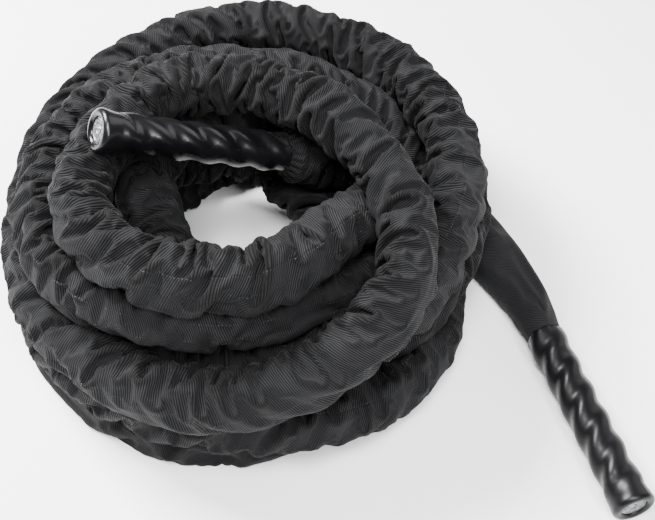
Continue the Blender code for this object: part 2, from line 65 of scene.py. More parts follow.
# Centre line of the rope from the upper grip's mouth to the lower grip's, in tenths of a millimetre. It
# stays within 12 mm of the solid core's own line.
ROUTE = np.array((
    (-311, 437, 1759), (-75, 544, 1614), (100, 624, 1508), (266, 659, 1468), (419, 651, 1460),
    (576, 588, 1465), (715, 486, 1473), (814, 340, 1487), (868, 171, 1514), (864, 10, 1556),
    (809, -164, 1615), (699, -367, 1694), (553, -580, 1795), (401, -769, 1931), (205, -993, 2064),
    (-30, -1367, 2155), (-391, -1681, 2246), (-862, -1837, 2316), (-1364, -1788, 2344),
    (-1812, -1560, 2353), (-2142, -1192, 2358), (-2285, -732, 2365), (-2238, -277, 2369),
    (-2100, 94, 2374), (-1939, 387, 2381), (-1747, 615, 2389), (-1525, 778, 2396), (-1286, 868, 2398),
    (-1052, 899, 2399), (-832, 889, 2400), (-628, 841, 2406), (-436, 765, 2413), (-236, 675, 2416),
    (-18, 551, 2425), (217, 365, 2430), (480, 90, 2390), (802, -337, 2276), (1021, -960, 2103),
    (921, -1635, 1914), (486, -2153, 1707), (-132, -2459, 1493), (-820, -2546, 1338),
    (-1493, -2408, 1284), (-2077, -2074, 1289), (-2538, -1618, 1301), (-2858, -1079, 1300),
    (-3023, -497, 1306), (-3079, 89, 1324), (-3059, 682, 1364), (-2923, 1288, 1416),
    (-2627, 1868, 1462), (-2176, 2388, 1493), (-1573, 2797, 1518), (-846, 2983, 1537),
    (-92, 2880, 1548), (582, 2534, 1553), (1120, 2018, 1554), (1489, 1388, 1559), (1660, 698, 1560),
    (1646, 9, 1542), (1473, -632, 1489), (1156, -1189, 1416), (718, -1616, 1330), (195, -1868, 1231),
    (-347, -1948, 1137), (-855, -1908, 1057), (-1319, -1777, 1007), (-1738, -1554, 976),
    (-2086, -1236, 951), (-2336, -844, 927), (-2480, -408, 908), (-2498, 42, 893), (-2382, 464, 882),
    (-2161, 818, 874), (-1869, 1086, 873), (-1536, 1256, 884), (-1192, 1324, 902), (-865, 1300, 911),
    (-578, 1189, 903), (-352, 1018, 886), (-175, 830, 870), (-28, 632, 848), (89, 412, 825),
    (176, 161, 826), (237, -133, 860), (232, -477, 918), (94, -824, 990), (-162, -1140, 1084),
    (-501, -1390, 1221), (-919, -1445, 1348), (-1293, -1230, 1434), (-1500, -856, 1508),
    (-1592, -535, 1568), (-1684, -318, 1614), (-1775, -118, 1646), (-1816, 100, 1675),
    (-1781, 322, 1709), (-1693, 530, 1739), (-1566, 725, 1752), (-1395, 902, 1755),
    (-1172, 1053, 1740), (-894, 1175, 1671), (-549, 1281, 1507), (-130, 1312, 1293),
    (304, 1182, 1121), (685, 892, 1014), (971, 478, 953), (1089, -14, 956), (963, -494, 1049),
    (670, -873, 1206), (349, -1169, 1369), (23, -1452, 1523), (-367, -1701, 1674),
    (-835, -1847, 1777), (-1349, -1860, 1818), (-1875, -1732, 1817), (-2341, -1425, 1816),
    (-2657, -959, 1830), (-2799, -422, 1844), (-2791, 117, 1859), (-2651, 617, 1877),
    (-2393, 1042, 1895), (-2049, 1372, 1904), (-1639, 1569, 1914), (-1220, 1646, 1915),
    (-824, 1696, 1864), (-394, 1783, 1738), (123, 1814, 1557), (655, 1651, 1334), (1086, 1275, 1028),
    (1364, 751, 690), (1498, 148, 452), (1503, -491, 366), (1348, -1131, 379), (998, -1707, 437),
    (469, -2121, 536), (-157, -2331, 663), (-804, -2366, 746), (-1430, -2256, 762),
    (-2003, -1994, 749), (-2484, -1597, 742), (-2843, -1093, 754), (-3067, -524, 772),
    (-3165, 83, 794), (-3139, 712, 820), (-2965, 1339, 849), (-2621, 1922, 880), (-2122, 2418, 914),
    (-1487, 2783, 949), (-753, 2939, 973), (-4, 2845, 977), (673, 2532, 971), (1222, 2056, 965),
    (1600, 1466, 963), (1766, 819, 956), (1725, 177, 934), (1549, -415, 918), (1253, -940, 898),
    (830, -1356, 837), (302, -1614, 755), (-253, -1708, 648), (-774, -1695, 527), (-1262, -1617, 423),
    (-1721, -1448, 330), (-2111, -1153, 260), (-2384, -756, 225), (-2523, -309, 213),
    (-2535, 143, 208), (-2408, 562, 208), (-2179, 910, 208), (-1920, 1212, 208), (-1652, 1531, 208),
    (-1301, 1837, 208), (-841, 1999, 208), (-352, 1932, 208), (85, 1700, 208), (448, 1379, 208),
    (747, 997, 208), (953, 554, 208), (1046, 65, 208), (1009, -439, 208), (847, -928, 208),
    (569, -1373, 208), (194, -1772, 208), (-292, -2077, 208), (-865, -2221, 208), (-1455, -2144, 208),
    (-1987, -1889, 208), (-2444, -1526, 208), (-2814, -1073, 208), (-3069, -539, 208),
    (-3217, 53, 208), (-3272, 703, 208), (-3175, 1396, 208), (-2839, 2047, 208), (-2279, 2532, 208),
    (-1590, 2819, 208), (-853, 2902, 208), (-126, 2789, 208), (535, 2483, 208), (1087, 2021, 208),
    (1326, 1830, 209), (1474, 1619, 209), (1724, 1176, 209), (1966, 701, 209), (2147, 348, 208),
    (2296, 41, 208), (2428, -240, 216), (2537, -501, 225), (2600, -711, 225), (2685, -996, 225),
)) / 10000

# The route starts this far outside each grip's mouth
ROUTE_START = 0.0003

# The point on the floor that the camera looks at
CAMERA_TARGET = (0.02063, 0.03412, 0.0)

# Half the width of the floor, so wide that its edge stays out of sight
FLOOR_REACH = 20.0

# Name, place, width, height and power setting of each light
STUDIO_LIGHTS = (
    ("key_light", (-1.25, 0.65, 1.75), 0.9, 0.9, "key_power"),
    ("front_light", (-0.1, -0.9, 2.1), 0.8, 0.8, "front_power"),
    ("side_light", (0.85, -1.55, 1.4), 0.35, 1.2, "side_power"),
    ("back_panel", (2.0, 1.3, 1.5), 2.0, 2.0, "back_power"),
)

# Width of the camera's sensor, in millimetres
SENSOR_WIDTH = 36

# Spare cloth at route points, as a share of the rope's length, on top of what a bend takes up
SPARE_CLOTH = (
    (0, 0.40), (8, 0.28), (14, 0.09), (36, 0.07), (110, 0.07),
    (158, 0.05), (178, 0.015), (199, 0.01), (210, 0.02),
)

# Places along a grip, from its mouth: its end, the cuff's end, the whipping tape's start, the lip's
# start and the end disc's face
GRIP_LENGTH = 0.225
CUFF_LENGTH = 0.030
TAPE_START = 0.198
LIP_START = 0.218
DISC_FACE = 0.2222

# How far the sleeve is tucked into a grip, and the length over which the tube comes down past the
# cuff's end or the tape's
TUCK = 0.004
RAMP_LENGTH = 0.008

# Samples of a smooth line between two of its points, and the spacing of the rope's own line and of a
# second line through the route, which the declare step works out and leaves unused
SPAN_SAMPLES = 24
ROPE_LINE_STEP = 0.004
CORD_LINE_STEP = 0.01

# The rope's strands, the sides of each in the mesh, and the length in which each goes round once
STRAND_COUNT = 3
STRAND_SIDES = 12
LAY_PITCH = 0.110

# How soft the valleys between the strands are under the tube, and the height of an even swell
VALLEY_SOFTNESS = 0.9
MEAN_SWELL = 0.55

# Lengths over which the swell gives way to an even one at a grip's mouth and at its lip, and the share
# of it that is lost there
MOUTH_EASE = 0.020
LIP_EASE = 0.024
MOUTH_LOSS = 0.35
LIP_LOSS = 0.75

# Thickness of a cuff or a tape under the tube
LAP = 0.0009

# Length of the flare before the lip, and of the mouth where the tube is pinched into small creases
FLARE_LENGTH = 0.013
CREASE_LENGTH = 0.009

# Creases round a mouth: how deep, how many and from what angle, and how far they draw the edge back
CREASES = ((0.0007, 7, 0), (0.0005, 12, 1), (0.0004, 19, 2))
CREASE_PULL = 0.0003

# Columns of a grip's mesh and of a disc's, and the spacing of a grip's rings outside and inside
GRIP_COLUMNS = 96
DISC_COLUMNS = 72
OUTER_RINGS = 0.0015
INNER_RINGS = 0.003

# Rings of the flare and of the rolled lip, and the lip's height as a share of a round one's
FLARE_RINGS = 10
LIP_RINGS = 14
LIP_FLATNESS = 0.98

# Section of an end disc: how far in from its edge and how far below its face, in millimetres
DISC_RADIUS = 0.0163
DISC_SECTION = (
    (16.29, 2.8), (0.4, 2.8), (0.0, 2.4), (0.0, 0.3), (0.3, 0.0), (1.8, 0.0), (2.3, 0.5), (4.0, 0.6),
    (4.4, 0.3), (5.2, 0.3), (5.6, 0.6), (11.8, 0.6), (12.2, 0.3), (12.9, 0.3), (13.3, 0.6), (16.29, 0.6),
)

# Radius of the sleeve where it goes into a grip and where it has come free, and the lengths over which
# it draws in towards the upper grip and the lower one
NECK_RADIUS = 0.0212
FREE_RADIUS = 0.0370
UPPER_TAPER = 0.030
LOWER_TAPER = 0.170

# Length of rope before the lower grip where the cloth lies smooth, and the length over which it gets so
CALM_LENGTH = 0.26
CALM_TAPER = 0.08

# Columns and ring spacing of the cloth at the start, and the ring spacing above which it counts as coarse
START_COLUMNS = 20
START_STEP = 0.008
COARSE_STEP = 0.005

# Rings at each end of the fine cloth that the grips hold, the rings between them, and the gap between
# the cloth and the tube that holds it
TIED_RINGS = 3
FREE_RINGS = slice(TIED_RINGS, -TIED_RINGS)
TUCK_GAP = 0.0003

# Height of a deep fold, in ring spacings of the fine cloth
DEEP_FOLD = 0.8

# Times that the calm cloth is smoothed, and how far crests are drawn out and valleys deepened
CALM_PASSES = 10
CREST_LIFT = 0.25
VALLEY_LIFT = 1.6

# Share of the stitch pitch that a stitch fills, and how far its middle stands off the cloth
STITCH_SHARE = 0.72
STITCH_RISE = 0.0003

# The ribs lean to one side and back in this length of cloth, starting at this angle of the swing, and
# slide along the sleeve by this share of the way round it
LEAN_LENGTH = 2.4
LEAN_START = 3.8
LEAN_SLOPE = 0.55

# How far the ribs wander from even spacing, as an angle of their wave
RIB_WANDER = 5.0

# Spacing of the yarns across the ribs, drawn at 1 mm because the real ones are too fine to show
YARN_SPACING = 1.0 * MM

# Heights of the ribs, the yarns and the doubled cloth of the seam, in millimetres, and where the seam's
# edge starts and is up to its full height, outside the stitches
RIB_HEIGHT = 0.5
YARN_HEIGHT = 0.04
SEAM_HEIGHT = 0.9
SEAM_FOOT = 2.4 * MM
SEAM_TOP = 1.2 * MM

# Finish of each kind of piece, as the part's record names it
SLOTS = {
    "sleeve": "sleeve_fabric",
    "rope": "rope_fibre",
    "tape": "whipping_tape",
    "film": "shrink_tube",
    "disc": "end_disc",
}


def linear(code):
    """Linear colour of an sRGB hex code, with alpha."""
    values = [int(code[start:start + 2], 16) / 255 for start in (1, 3, 5)]
    parts = [value / 12.92 if value <= 0.04045 else ((value + 0.055) / 1.055) ** 2.4 for value in values]
    return (*parts, 1.0)


def pattern_scale(size):
    """Scale of a pattern whose marks are so many millimetres across."""
    return 1 / (size * MM)


class RopeSizes(bpy.types.PropertyGroup):
    """The rope inside the sleeve."""

    strand_radius: bpy.props.FloatProperty(
        name="Strand radius", description="Half the thickness of each of the three strands",
        default=0.0078, min=0.002, unit="LENGTH")
    strand_circle: bpy.props.FloatProperty(
        name="Strand circle", description="Distance of each strand's middle from the rope's middle",
        default=0.0102, min=0.002, unit="LENGTH")
    lay_pitch: bpy.props.FloatProperty(
        name="Lay pitch", description="Length of rope in which a strand goes round once",
        default=LAY_PITCH, min=0.02, unit="LENGTH")
    ring_spacing: bpy.props.FloatProperty(
        name="Ring spacing", description="Distance between the cross-sections of the mesh",
        default=0.006, min=0.001, unit="LENGTH")
    yarn_colour: bpy.props.FloatVectorProperty(
        name="Yarn colour", description="Colour of the rope's yarn",
        default=linear("#2B2A2C")[:3], min=0, max=1, subtype="COLOR")


class SleeveSizes(bpy.types.PropertyGroup):
    """The gathered sleeve."""

    cloth_radius: bpy.props.FloatProperty(
        name="Cloth radius", description="Radius that the cloth would have if it were puffed out round",
        default=0.0298, min=0.02, unit="LENGTH")
    rope_radius: bpy.props.FloatProperty(
        name="Rope radius", description="Radius of the rope that holds the cloth up from inside",
        default=0.0195, min=0.01, unit="LENGTH")
    weave_seed: bpy.props.IntProperty(
        name="Seed", description="Number that chooses the folds",
        default=7, min=0)
    first_rounds: bpy.props.IntProperty(
        name="First rounds", description="Steps of settling on the coarse cloth",
        default=160, min=1)
    last_rounds: bpy.props.IntProperty(
        name="Last rounds", description="Steps of settling on the fine cloth",
        default=80, min=1)
    cloth_colour: bpy.props.FloatVectorProperty(
        name="Cloth colour", description="Colour of the sleeve's ribs",
        default=linear("#202022")[:3], min=0, max=1, subtype="COLOR")
    rib_spacing: bpy.props.FloatProperty(
        name="Rib spacing", description="Distance between the ribs of the weave",
        default=0.0024, min=0.0005, unit="LENGTH")
    seam_width: bpy.props.FloatProperty(
        name="Seam width", description="Distance between the two rows of stitches",
        default=0.0185, min=0.002, unit="LENGTH")
    stitch_pitch: bpy.props.FloatProperty(
        name="Stitch pitch", description="Distance from one stitch to the next",
        default=0.0040, min=0.001, unit="LENGTH")
    stitch_radius: bpy.props.FloatProperty(
        name="Stitch radius", description="Half the thickness of the sewing thread",
        default=0.00035, min=0.0001, unit="LENGTH")


class GripSizes(bpy.types.PropertyGroup):
    """The shrink tube grips and their end discs."""

    valley_radius: bpy.props.FloatProperty(
        name="Valley radius", description="Outer radius of the tube between two strands",
        default=0.0189, min=0.01, unit="LENGTH")
    crest_height: bpy.props.FloatProperty(
        name="Crest height", description="How far the tube swells over a strand",
        default=0.0030, min=0, unit="LENGTH")
    wall: bpy.props.FloatProperty(
        name="Wall", description="Thickness of the tube",
        default=0.0010, min=0.0002, unit="LENGTH")
    lip_radius: bpy.props.FloatProperty(
        name="Lip radius", description="Outer radius of the rolled end",
        default=0.0230, min=0.01, unit="LENGTH")
    lip_roll: bpy.props.FloatProperty(
        name="Lip roll", description="Radius of the roll's own section",
        default=0.0050, min=0.0005, unit="LENGTH")
    film_colour: bpy.props.FloatVectorProperty(
        name="Film colour", description="Colour of the shrink tube where hands have worn it",
        default=linear("#0C0C0E")[:3], min=0, max=1, subtype="COLOR")


class StageSizes(bpy.types.PropertyGroup):
    """The floor, the lights and the camera."""

    camera_elevation: bpy.props.FloatProperty(
        name="Camera elevation", description="Angle of the camera above the floor",
        default=math.radians(50), subtype="ANGLE")
    camera_distance: bpy.props.FloatProperty(
        name="Camera distance", description="Distance of the camera from the point it looks at",
        default=1.35, min=0.3, unit="LENGTH")
    camera_lens: bpy.props.FloatProperty(
        name="Camera lens", description="Focal length on a sensor 36 mm wide",
        default=60.13, min=10, unit="CAMERA")
    floor_colour: bpy.props.FloatVectorProperty(
        name="Floor colour", description="Colour of the studio floor",
        default=linear("#F7F7F7")[:3], min=0, max=1, subtype="COLOR")
    sky_strength: bpy.props.FloatProperty(
        name="Sky strength", description="Strength of the even light from all round",
        default=0.18, min=0)
    key_power: bpy.props.FloatProperty(
        name="Key power", description="Power of the large light at the upper left",
        default=262, min=0, unit="POWER")
    front_power: bpy.props.FloatProperty(
        name="Front power", description="Power of the light above the camera",
        default=100, min=0, unit="POWER")
    side_power: bpy.props.FloatProperty(
        name="Side power", description="Power of the small light at the right",
        default=62, min=0, unit="POWER")
    back_power: bpy.props.FloatProperty(
        name="Back power", description="Power of the wide panel behind, at the right",
        default=32, min=0, unit="POWER")


def add_node(tree, kind, values=None, links=None, **settings):
    """Adds a node with its settings, the values of its inputs and what is linked to them, which is a
    socket or a node's first output."""
    node = tree.nodes.new(kind)
    for name, value in settings.items():
        setattr(node, name, value)
    for socket, value in (values or {}).items():
        node.inputs[socket].default_value = value
    for socket, source in (links or {}).items():
        if isinstance(source, bpy.types.Node):
            source = source.outputs[0]
        tree.links.new(source, node.inputs[socket])
    return node


def new_material(name, **values):
    """Empty material with a shader and its fixed values; gives back the material, its tree, the shader
    and the socket with the piece's own coordinates."""
    material = bpy.data.materials.new(name)
    material.use_nodes = True
    tree = material.node_tree
    shader = tree.nodes["Principled BSDF"]
    for socket, value in values.items():
        shader.inputs[socket.replace("_", " ")].default_value = value
    solid = add_node(tree, "ShaderNodeTexCoord")
    return material, tree, shader, solid.outputs["Object"]


def ribbed_polyester(sizes):
    """Ribbed polyester sleeve cloth, woven: matte charcoal with a fine line at each rib, dark between the
    ribs partly from the yarn and partly as painted shade in the grooves, with painted shade in deep
    valleys, and with a raised flat seam."""
    material, tree, shader, solid = new_material(
        "ribbed_polyester", Sheen_Weight=0.03, Sheen_Roughness=0.4, Sheen_Tint=linear("#CACACC"),
        Specular_IOR_Level=0.12)
    place = add_node(tree, "ShaderNodeUVMap", uv_map="cloth")
    parts = add_node(tree, "ShaderNodeSeparateXYZ", links={0: place})
    along, around = parts.outputs["X"], parts.outputs["Y"]

    # Ribs: one line round the sleeve every rib spacing, a little uneven as in real cloth, and spaced
    # wider than the real ones, which run together when drawn. They lean to one side and the other along
    # the sleeve, because the cloth turns a little round the rope.
    drift = add_node(tree, "ShaderNodeTexNoise", {"Scale": pattern_scale(33.33), "Detail": 2.0},
                     {"Vector": solid})
    swing = add_node(tree, "ShaderNodeMath", {1: 2 * math.pi / LEAN_LENGTH, 2: LEAN_START}, {0: along},
                     operation="MULTIPLY_ADD")
    lean = add_node(tree, "ShaderNodeMath", links={0: swing}, operation="SINE")
    slope = add_node(tree, "ShaderNodeMath", {1: LEAN_SLOPE}, {0: lean}, operation="MULTIPLY")
    slid = add_node(tree, "ShaderNodeMath", links={0: slope, 1: around, 2: along},
                    operation="MULTIPLY_ADD")
    turns = add_node(tree, "ShaderNodeMath", {1: 2 * math.pi / sizes.rib_spacing}, {0: slid},
                     operation="MULTIPLY")
    wobble = add_node(tree, "ShaderNodeMath", {1: RIB_WANDER}, {0: drift}, operation="MULTIPLY")
    phase = add_node(tree, "ShaderNodeMath", links={0: turns, 1: wobble}, operation="ADD")
    wave = add_node(tree, "ShaderNodeMath", links={0: phase}, operation="SINE")
    rib = add_node(tree, "ShaderNodeMapRange", {"From Min": -1.0, "From Max": 0.8}, {"Value": wave})
    across = add_node(tree, "ShaderNodeMath", {1: 2 * math.pi / YARN_SPACING}, {0: around},
                      operation="MULTIPLY")
    yarn = add_node(tree, "ShaderNodeMath", links={0: across}, operation="SINE")

    # Colour: dark between the ribs, partly the yarn's tone and partly painted shade in the grooves,
    # charcoal on them, in faint patches, and darkest in deep valleys, where painted shade stands in for
    # the shade that falls into the folds
    base = add_node(tree, "ShaderNodeMix", {6: linear("#010101"), 7: (*sizes.cloth_colour, 1.0)},
                    {0: rib}, data_type="RGBA")
    patches = add_node(tree, "ShaderNodeTexNoise", {"Scale": pattern_scale(71.43), "Detail": 3.0},
                       {"Vector": solid})
    shade = add_node(tree, "ShaderNodeMapRange",
                     {"From Min": 0.3, "From Max": 0.7, "To Min": 0.82, "To Max": 1.15},
                     {"Value": patches})
    toned = add_node(tree, "ShaderNodeMix", {0: 1.0}, {6: base.outputs[2], 7: shade},
                     data_type="RGBA", blend_type="MULTIPLY")
    # Painted shade: the deep valleys of the folds are mixed towards near black
    fold = add_node(tree, "ShaderNodeAttribute", attribute_name="fold")
    painted_crease_shade = add_node(tree, "ShaderNodeMapRange", {"From Min": -0.2, "From Max": -1.0, "To Max": 0.75},
                    {"Value": fold.outputs["Fac"]})
    shaded = add_node(tree, "ShaderNodeMix", {7: linear("#030303")}, {0: painted_crease_shade, 6: toned.outputs[2]},
                      data_type="RGBA")
    tree.links.new(shaded.outputs[2], shader.inputs["Base Color"])
    rough = add_node(tree, "ShaderNodeMapRange", {"To Min": 0.92, "To Max": 0.72}, {"Value": rib})
    tree.links.new(rough.outputs[0], shader.inputs["Roughness"])

    # Height in millimetres: ribs, yarns and the doubled cloth of the seam
    ribs = add_node(tree, "ShaderNodeMath", {1: RIB_HEIGHT}, {0: rib}, operation="MULTIPLY")
    yarns = add_node(tree, "ShaderNodeMath", {1: YARN_HEIGHT}, {0: yarn}, operation="MULTIPLY")
    weave = add_node(tree, "ShaderNodeMath", links={0: ribs, 1: yarns}, operation="ADD")
    far = sizes.seam_width
    rise, fall = [
        add_node(tree, "ShaderNodeMapRange", {"From Min": foot, "From Max": top}, {"Value": around},
                 interpolation_type="SMOOTHSTEP")
        for foot, top in ((-SEAM_FOOT, -SEAM_TOP), (far + SEAM_FOOT, far + SEAM_TOP))]
    seam = add_node(tree, "ShaderNodeMath", links={0: rise, 1: fall}, operation="MULTIPLY")
    raised = add_node(tree, "ShaderNodeMath", {1: SEAM_HEIGHT}, {0: seam}, operation="MULTIPLY")
    height = add_node(tree, "ShaderNodeMath", links={0: weave, 1: raised}, operation="ADD")
    bump = add_node(tree, "ShaderNodeBump", {"Strength": 1.0, "Distance": MM}, {"Height": height})
    tree.links.new(bump.outputs[0], shader.inputs["Normal"])
    return material


def laid_yarn(name, colour):
    """Polyester rope yarn, laid: matte near black, with fine uneven fibres that take the gloss away."""
    material, tree, shader, solid = new_material(name, Sheen_Weight=0.2)

    # Fibres, drawn 2.4 mm wide because the real ones are too fine to show
    fibres = add_node(tree, "ShaderNodeTexNoise",
                      {"Scale": pattern_scale(2.381), "Detail": 4.0, "Distortion": 0.8},
                      {"Vector": solid})
    shadow = (value * 0.45 for value in colour)
    tone = add_node(tree, "ShaderNodeMix", {6: (*shadow, 1.0), 7: (*colour, 1.0)}, {0: fibres},
                    data_type="RGBA")
    tree.links.new(tone.outputs[2], shader.inputs["Base Color"])
    rough = add_node(tree, "ShaderNodeMapRange", {"To Min": 0.65, "To Max": 0.95}, {"Value": fibres})
    tree.links.new(rough.outputs[0], shader.inputs["Roughness"])
    bump = add_node(tree, "ShaderNodeBump", {"Strength": 0.8, "Distance": 0.3 * MM}, {"Height": fibres})
    tree.links.new(bump.outputs[0], shader.inputs["Normal"])
    return material


def woven_tape():
    """Cotton cloth tape, woven and rubbed: matte black with a fine checked weave."""
    material, tree, shader, solid = new_material("cotton_cloth_tape", Roughness=0.75)

    # Yarns 0.8 mm wide, and grime in patches 17 mm across
    weave = add_node(tree, "ShaderNodeTexChecker",
                     {"Scale": pattern_scale(0.8), "Color1": linear("#151515"),
                      "Color2": linear("#242424")}, {"Vector": solid})
    grime = add_node(tree, "ShaderNodeTexNoise", {"Scale": pattern_scale(16.67)}, {"Vector": solid})
    colour = add_node(tree, "ShaderNodeMix", {0: 0.3}, {6: weave, 7: grime.outputs[1]},
                      data_type="RGBA", blend_type="MULTIPLY")
    tree.links.new(colour.outputs[2], shader.inputs["Base Color"])
    bump = add_node(tree, "ShaderNodeBump", {"Strength": 0.6, "Distance": 0.2 * MM},
                    {"Height": weave.outputs[1]})
    tree.links.new(bump.outputs[0], shader.inputs["Normal"])
    return material


def shrunk_film(name, tint, gloss, polished, worn):
    """Polyolefin heat-shrink tube, shrunk on: black and glossy, with soft uneven ripples that break up
    the highlights and a duller bloom where hands hold it. Its roughness lies between polished and worn,
    and gloss is the strength of its highlights."""
    material, tree, shader, solid = new_material(name, Specular_IOR_Level=gloss)

    # Ripples 14 mm apart, worn patches 45 mm across, and the film's grain, drawn at 2 mm because the
    # real one is too fine to show
    ripples = add_node(tree, "ShaderNodeTexNoise",
                       {"Scale": pattern_scale(14.286), "Detail": 2.0, "Roughness": 0.45},
                       {"Vector": solid})
    grain = add_node(tree, "ShaderNodeTexNoise", {"Scale": pattern_scale(2), "Detail": 2.0},
                     {"Vector": solid})
    bloom = add_node(tree, "ShaderNodeTexNoise", {"Scale": pattern_scale(45.45), "Detail": 3.0},
                     {"Vector": solid})
    rough = add_node(tree, "ShaderNodeMapRange",
                     {"From Min": 0.3, "From Max": 0.7, "To Min": polished, "To Max": worn},
                     {"Value": bloom})
    tree.links.new(rough.outputs[0], shader.inputs["Roughness"])
    colour = add_node(tree, "ShaderNodeMix", {6: linear("#050506"), 7: (*tint, 1.0)}, {0: bloom},
                      data_type="RGBA")
    tree.links.new(colour.outputs[2], shader.inputs["Base Color"])
    fine = add_node(tree, "ShaderNodeBump", {"Strength": 0.1, "Distance": 0.05 * MM}, {"Height": grain})
    bump = add_node(tree, "ShaderNodeBump", {"Strength": 0.5, "Distance": 0.8 * MM},
                    {"Height": ripples, "Normal": fine})
    tree.links.new(bump.outputs[0], shader.inputs["Normal"])
    return material


def pressed_disc():
    """ABS plug with a hot-pressed silver foil on its face: satin, crinkled where the foil gathered, with
    painted shade darkening the creases and the foil's own silver on the raised spots."""
    material, tree, shader, solid = new_material("foiled_abs", Metallic=0.85)

    # Crinkles of the foil, 3 mm across
    creases = add_node(tree, "ShaderNodeTexNoise",
                       {"Scale": pattern_scale(3.03), "Detail": 3.0, "Roughness": 0.6,
                        "Distortion": 1.2}, {"Vector": solid})
    # Painted shade: the colour runs from near black in the creases to silver on the raised spots,
    # following the same noise as the bump
    tone = add_node(tree, "ShaderNodeMapRange", {"From Min": 0.40, "From Max": 0.62},
                    {"Value": creases})
    colour = add_node(tree, "ShaderNodeMix", {6: linear("#17181A"), 7: linear("#A2A4A7")}, {0: tone},
                      data_type="RGBA")
    tree.links.new(colour.outputs[2], shader.inputs["Base Color"])
    rough = add_node(tree, "ShaderNodeMapRange", {"To Min": 0.5, "To Max": 0.28}, {"Value": tone})
    tree.links.new(rough.outputs[0], shader.inputs["Roughness"])
    bump = add_node(tree, "ShaderNodeBump", {"Strength": 0.8, "Distance": 0.6 * MM}, {"Height": creases})
    tree.links.new(bump.outputs[0], shader.inputs["Normal"])
    return material


def sewing_thread():
    """Spun polyester sewing thread: paler grey than the cloth, with a slight twist."""
    material, tree, shader, solid = new_material("spun_polyester_thread", Roughness=0.6)

    # The twist, drawn at 1.1 mm because the real one is too fine to show
    twist = add_node(tree, "ShaderNodeTexNoise", {"Scale": pattern_scale(1.111)}, {"Vector": solid})
    colour = add_node(tree, "ShaderNodeMix", {6: linear("#232326"), 7: linear("#47474B")}, {0: twist},
                      data_type="RGBA")
    tree.links.new(colour.outputs[2], shader.inputs["Base Color"])
    return material


def studio_paper(tint):
    """Seamless background paper: pale, matte and nearly even."""
    material, tree, shader, solid = new_material("background_paper", Roughness=0.9)

    # Faint clouds, 167 mm across
    tooth = add_node(tree, "ShaderNodeTexNoise", {"Scale": pattern_scale(166.67), "Detail": 4.0},
                     {"Vector": solid})
    shade = add_node(tree, "ShaderNodeMapRange", {"To Min": 0.985, "To Max": 1.0}, {"Value": tooth})
    toned = add_node(tree, "ShaderNodeMix", {0: 1.0, 6: (*tint, 1.0)}, {7: shade},
                     data_type="RGBA", blend_type="MULTIPLY")
    tree.links.new(toned.outputs[2], shader.inputs["Base Color"])
    return material


def show(name, mesh, material=None):
    """Puts a mesh in the scene as an object at the origin."""
    if material:
        mesh.materials.append(material)
    item = bpy.data.objects.new(name, mesh)
    bpy.context.scene.collection.objects.link(item)
    return item


def attach(item, slot, *nodes):
    """The piece rides on the part's one body, takes a finish from the record and stands for its nodes."""
    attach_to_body(item, "root")
    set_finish(item, SLOTS[slot])
    if nodes:
        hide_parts(*nodes)


def plain_mesh(item):
    """The piece as its modifiers make it, as a plain mesh in place of the object."""
    bpy.context.view_layer.update()
    shown = item.evaluated_get(bpy.context.evaluated_depsgraph_get())
    mesh = bpy.data.meshes.new_from_object(shown)
    name = item.name
    source = item.data
    bpy.data.objects.remove(item, do_unlink=True)
    if isinstance(source, bpy.types.Mesh) and not source.users:
        bpy.data.meshes.remove(source)
    mesh.name = name
    return show(name, mesh)


def arc_lengths(points):
    """Length along a line of points, up to each of them."""
    return np.concatenate([[0], np.cumsum(np.linalg.norm(np.diff(points, axis=0), axis=1))])


def unit(vectors):
    """The vectors' directions."""
    return vectors / np.linalg.norm(vectors, axis=-1, keepdims=True)


def circle(columns):
    """Angle of each of the columns round a ring."""
    return 2 * math.pi * np.arange(columns) / columns


def ring_points(radius, angle, height):
    """Points of a ring in a grip's own frame."""
    level = np.broadcast_to(height, angle.shape)
    return np.stack([radius * np.cos(angle), radius * np.sin(angle), level], 1)


def centre_line(points, step):
    """Smooth curve through the points, with a sample every step along it."""
    knots = np.vstack([2 * points[0] - points[1], points, 2 * points[-1] - points[-2]])
    times = np.concatenate([[0], np.cumsum(np.sqrt(np.linalg.norm(np.diff(knots, axis=0), axis=1)))])
    t0, t1, t2, t3 = times[:-3], times[1:-2], times[2:-1], times[3:]
    p0, p1, p2, p3 = knots[:-3], knots[1:-2], knots[2:-1], knots[3:]

    def between(a, b, start, stop, now):
        share = ((now - start) / (stop - start))[:, None]
        return a * (1 - share) + b * share

    spans = []
    for share in np.arange(SPAN_SAMPLES) / SPAN_SAMPLES:
        now = t1 + share * (t2 - t1)
        a1 = between(p0, p1, t0, t1, now)
        a2 = between(p1, p2, t1, t2, now)
        a3 = between(p2, p3, t2, t3, now)
        b1 = between(a1, a2, t0, t2, now)
        b2 = between(a2, a3, t1, t3, now)
        spans.append(between(b1, b2, t1, t2, now))
    curve = np.vstack([np.stack(spans, 1).reshape(-1, 3), points[-1]])
    lengths = arc_lengths(curve)
    even = np.linspace(0, lengths[-1], int(round(lengths[-1] / step)) + 1)
    return np.stack([np.interp(even, lengths, curve[:, axis]) for axis in range(3)], 1)


def grip_frames():
    """Mouth of each grip and the three axes of its own frame, the last one outwards along the grip."""
    frames = {}
    for side, mouth, inner in (("a", ROUTE[0], ROUTE[1]), ("b", ROUTE[-1], ROUTE[-2])):
        along = unit(mouth - inner)
        turn = Vector(along).to_track_quat("Z", "Y").to_matrix()
        frames[side] = (mouth - along * ROUTE_START, np.array(turn))
    return frames


def swell(angle, height):
    """How far the tube swells over the strands, from 0 in a valley to 1 on a crest."""
    turn = STRAND_COUNT * (angle - 2 * math.pi * height / LAY_PITCH) / 2
    floor = VALLEY_SOFTNESS
    return (np.sqrt(np.cos(turn) ** 2 + floor ** 2) - floor) / (math.sqrt(1 + floor ** 2) - floor)


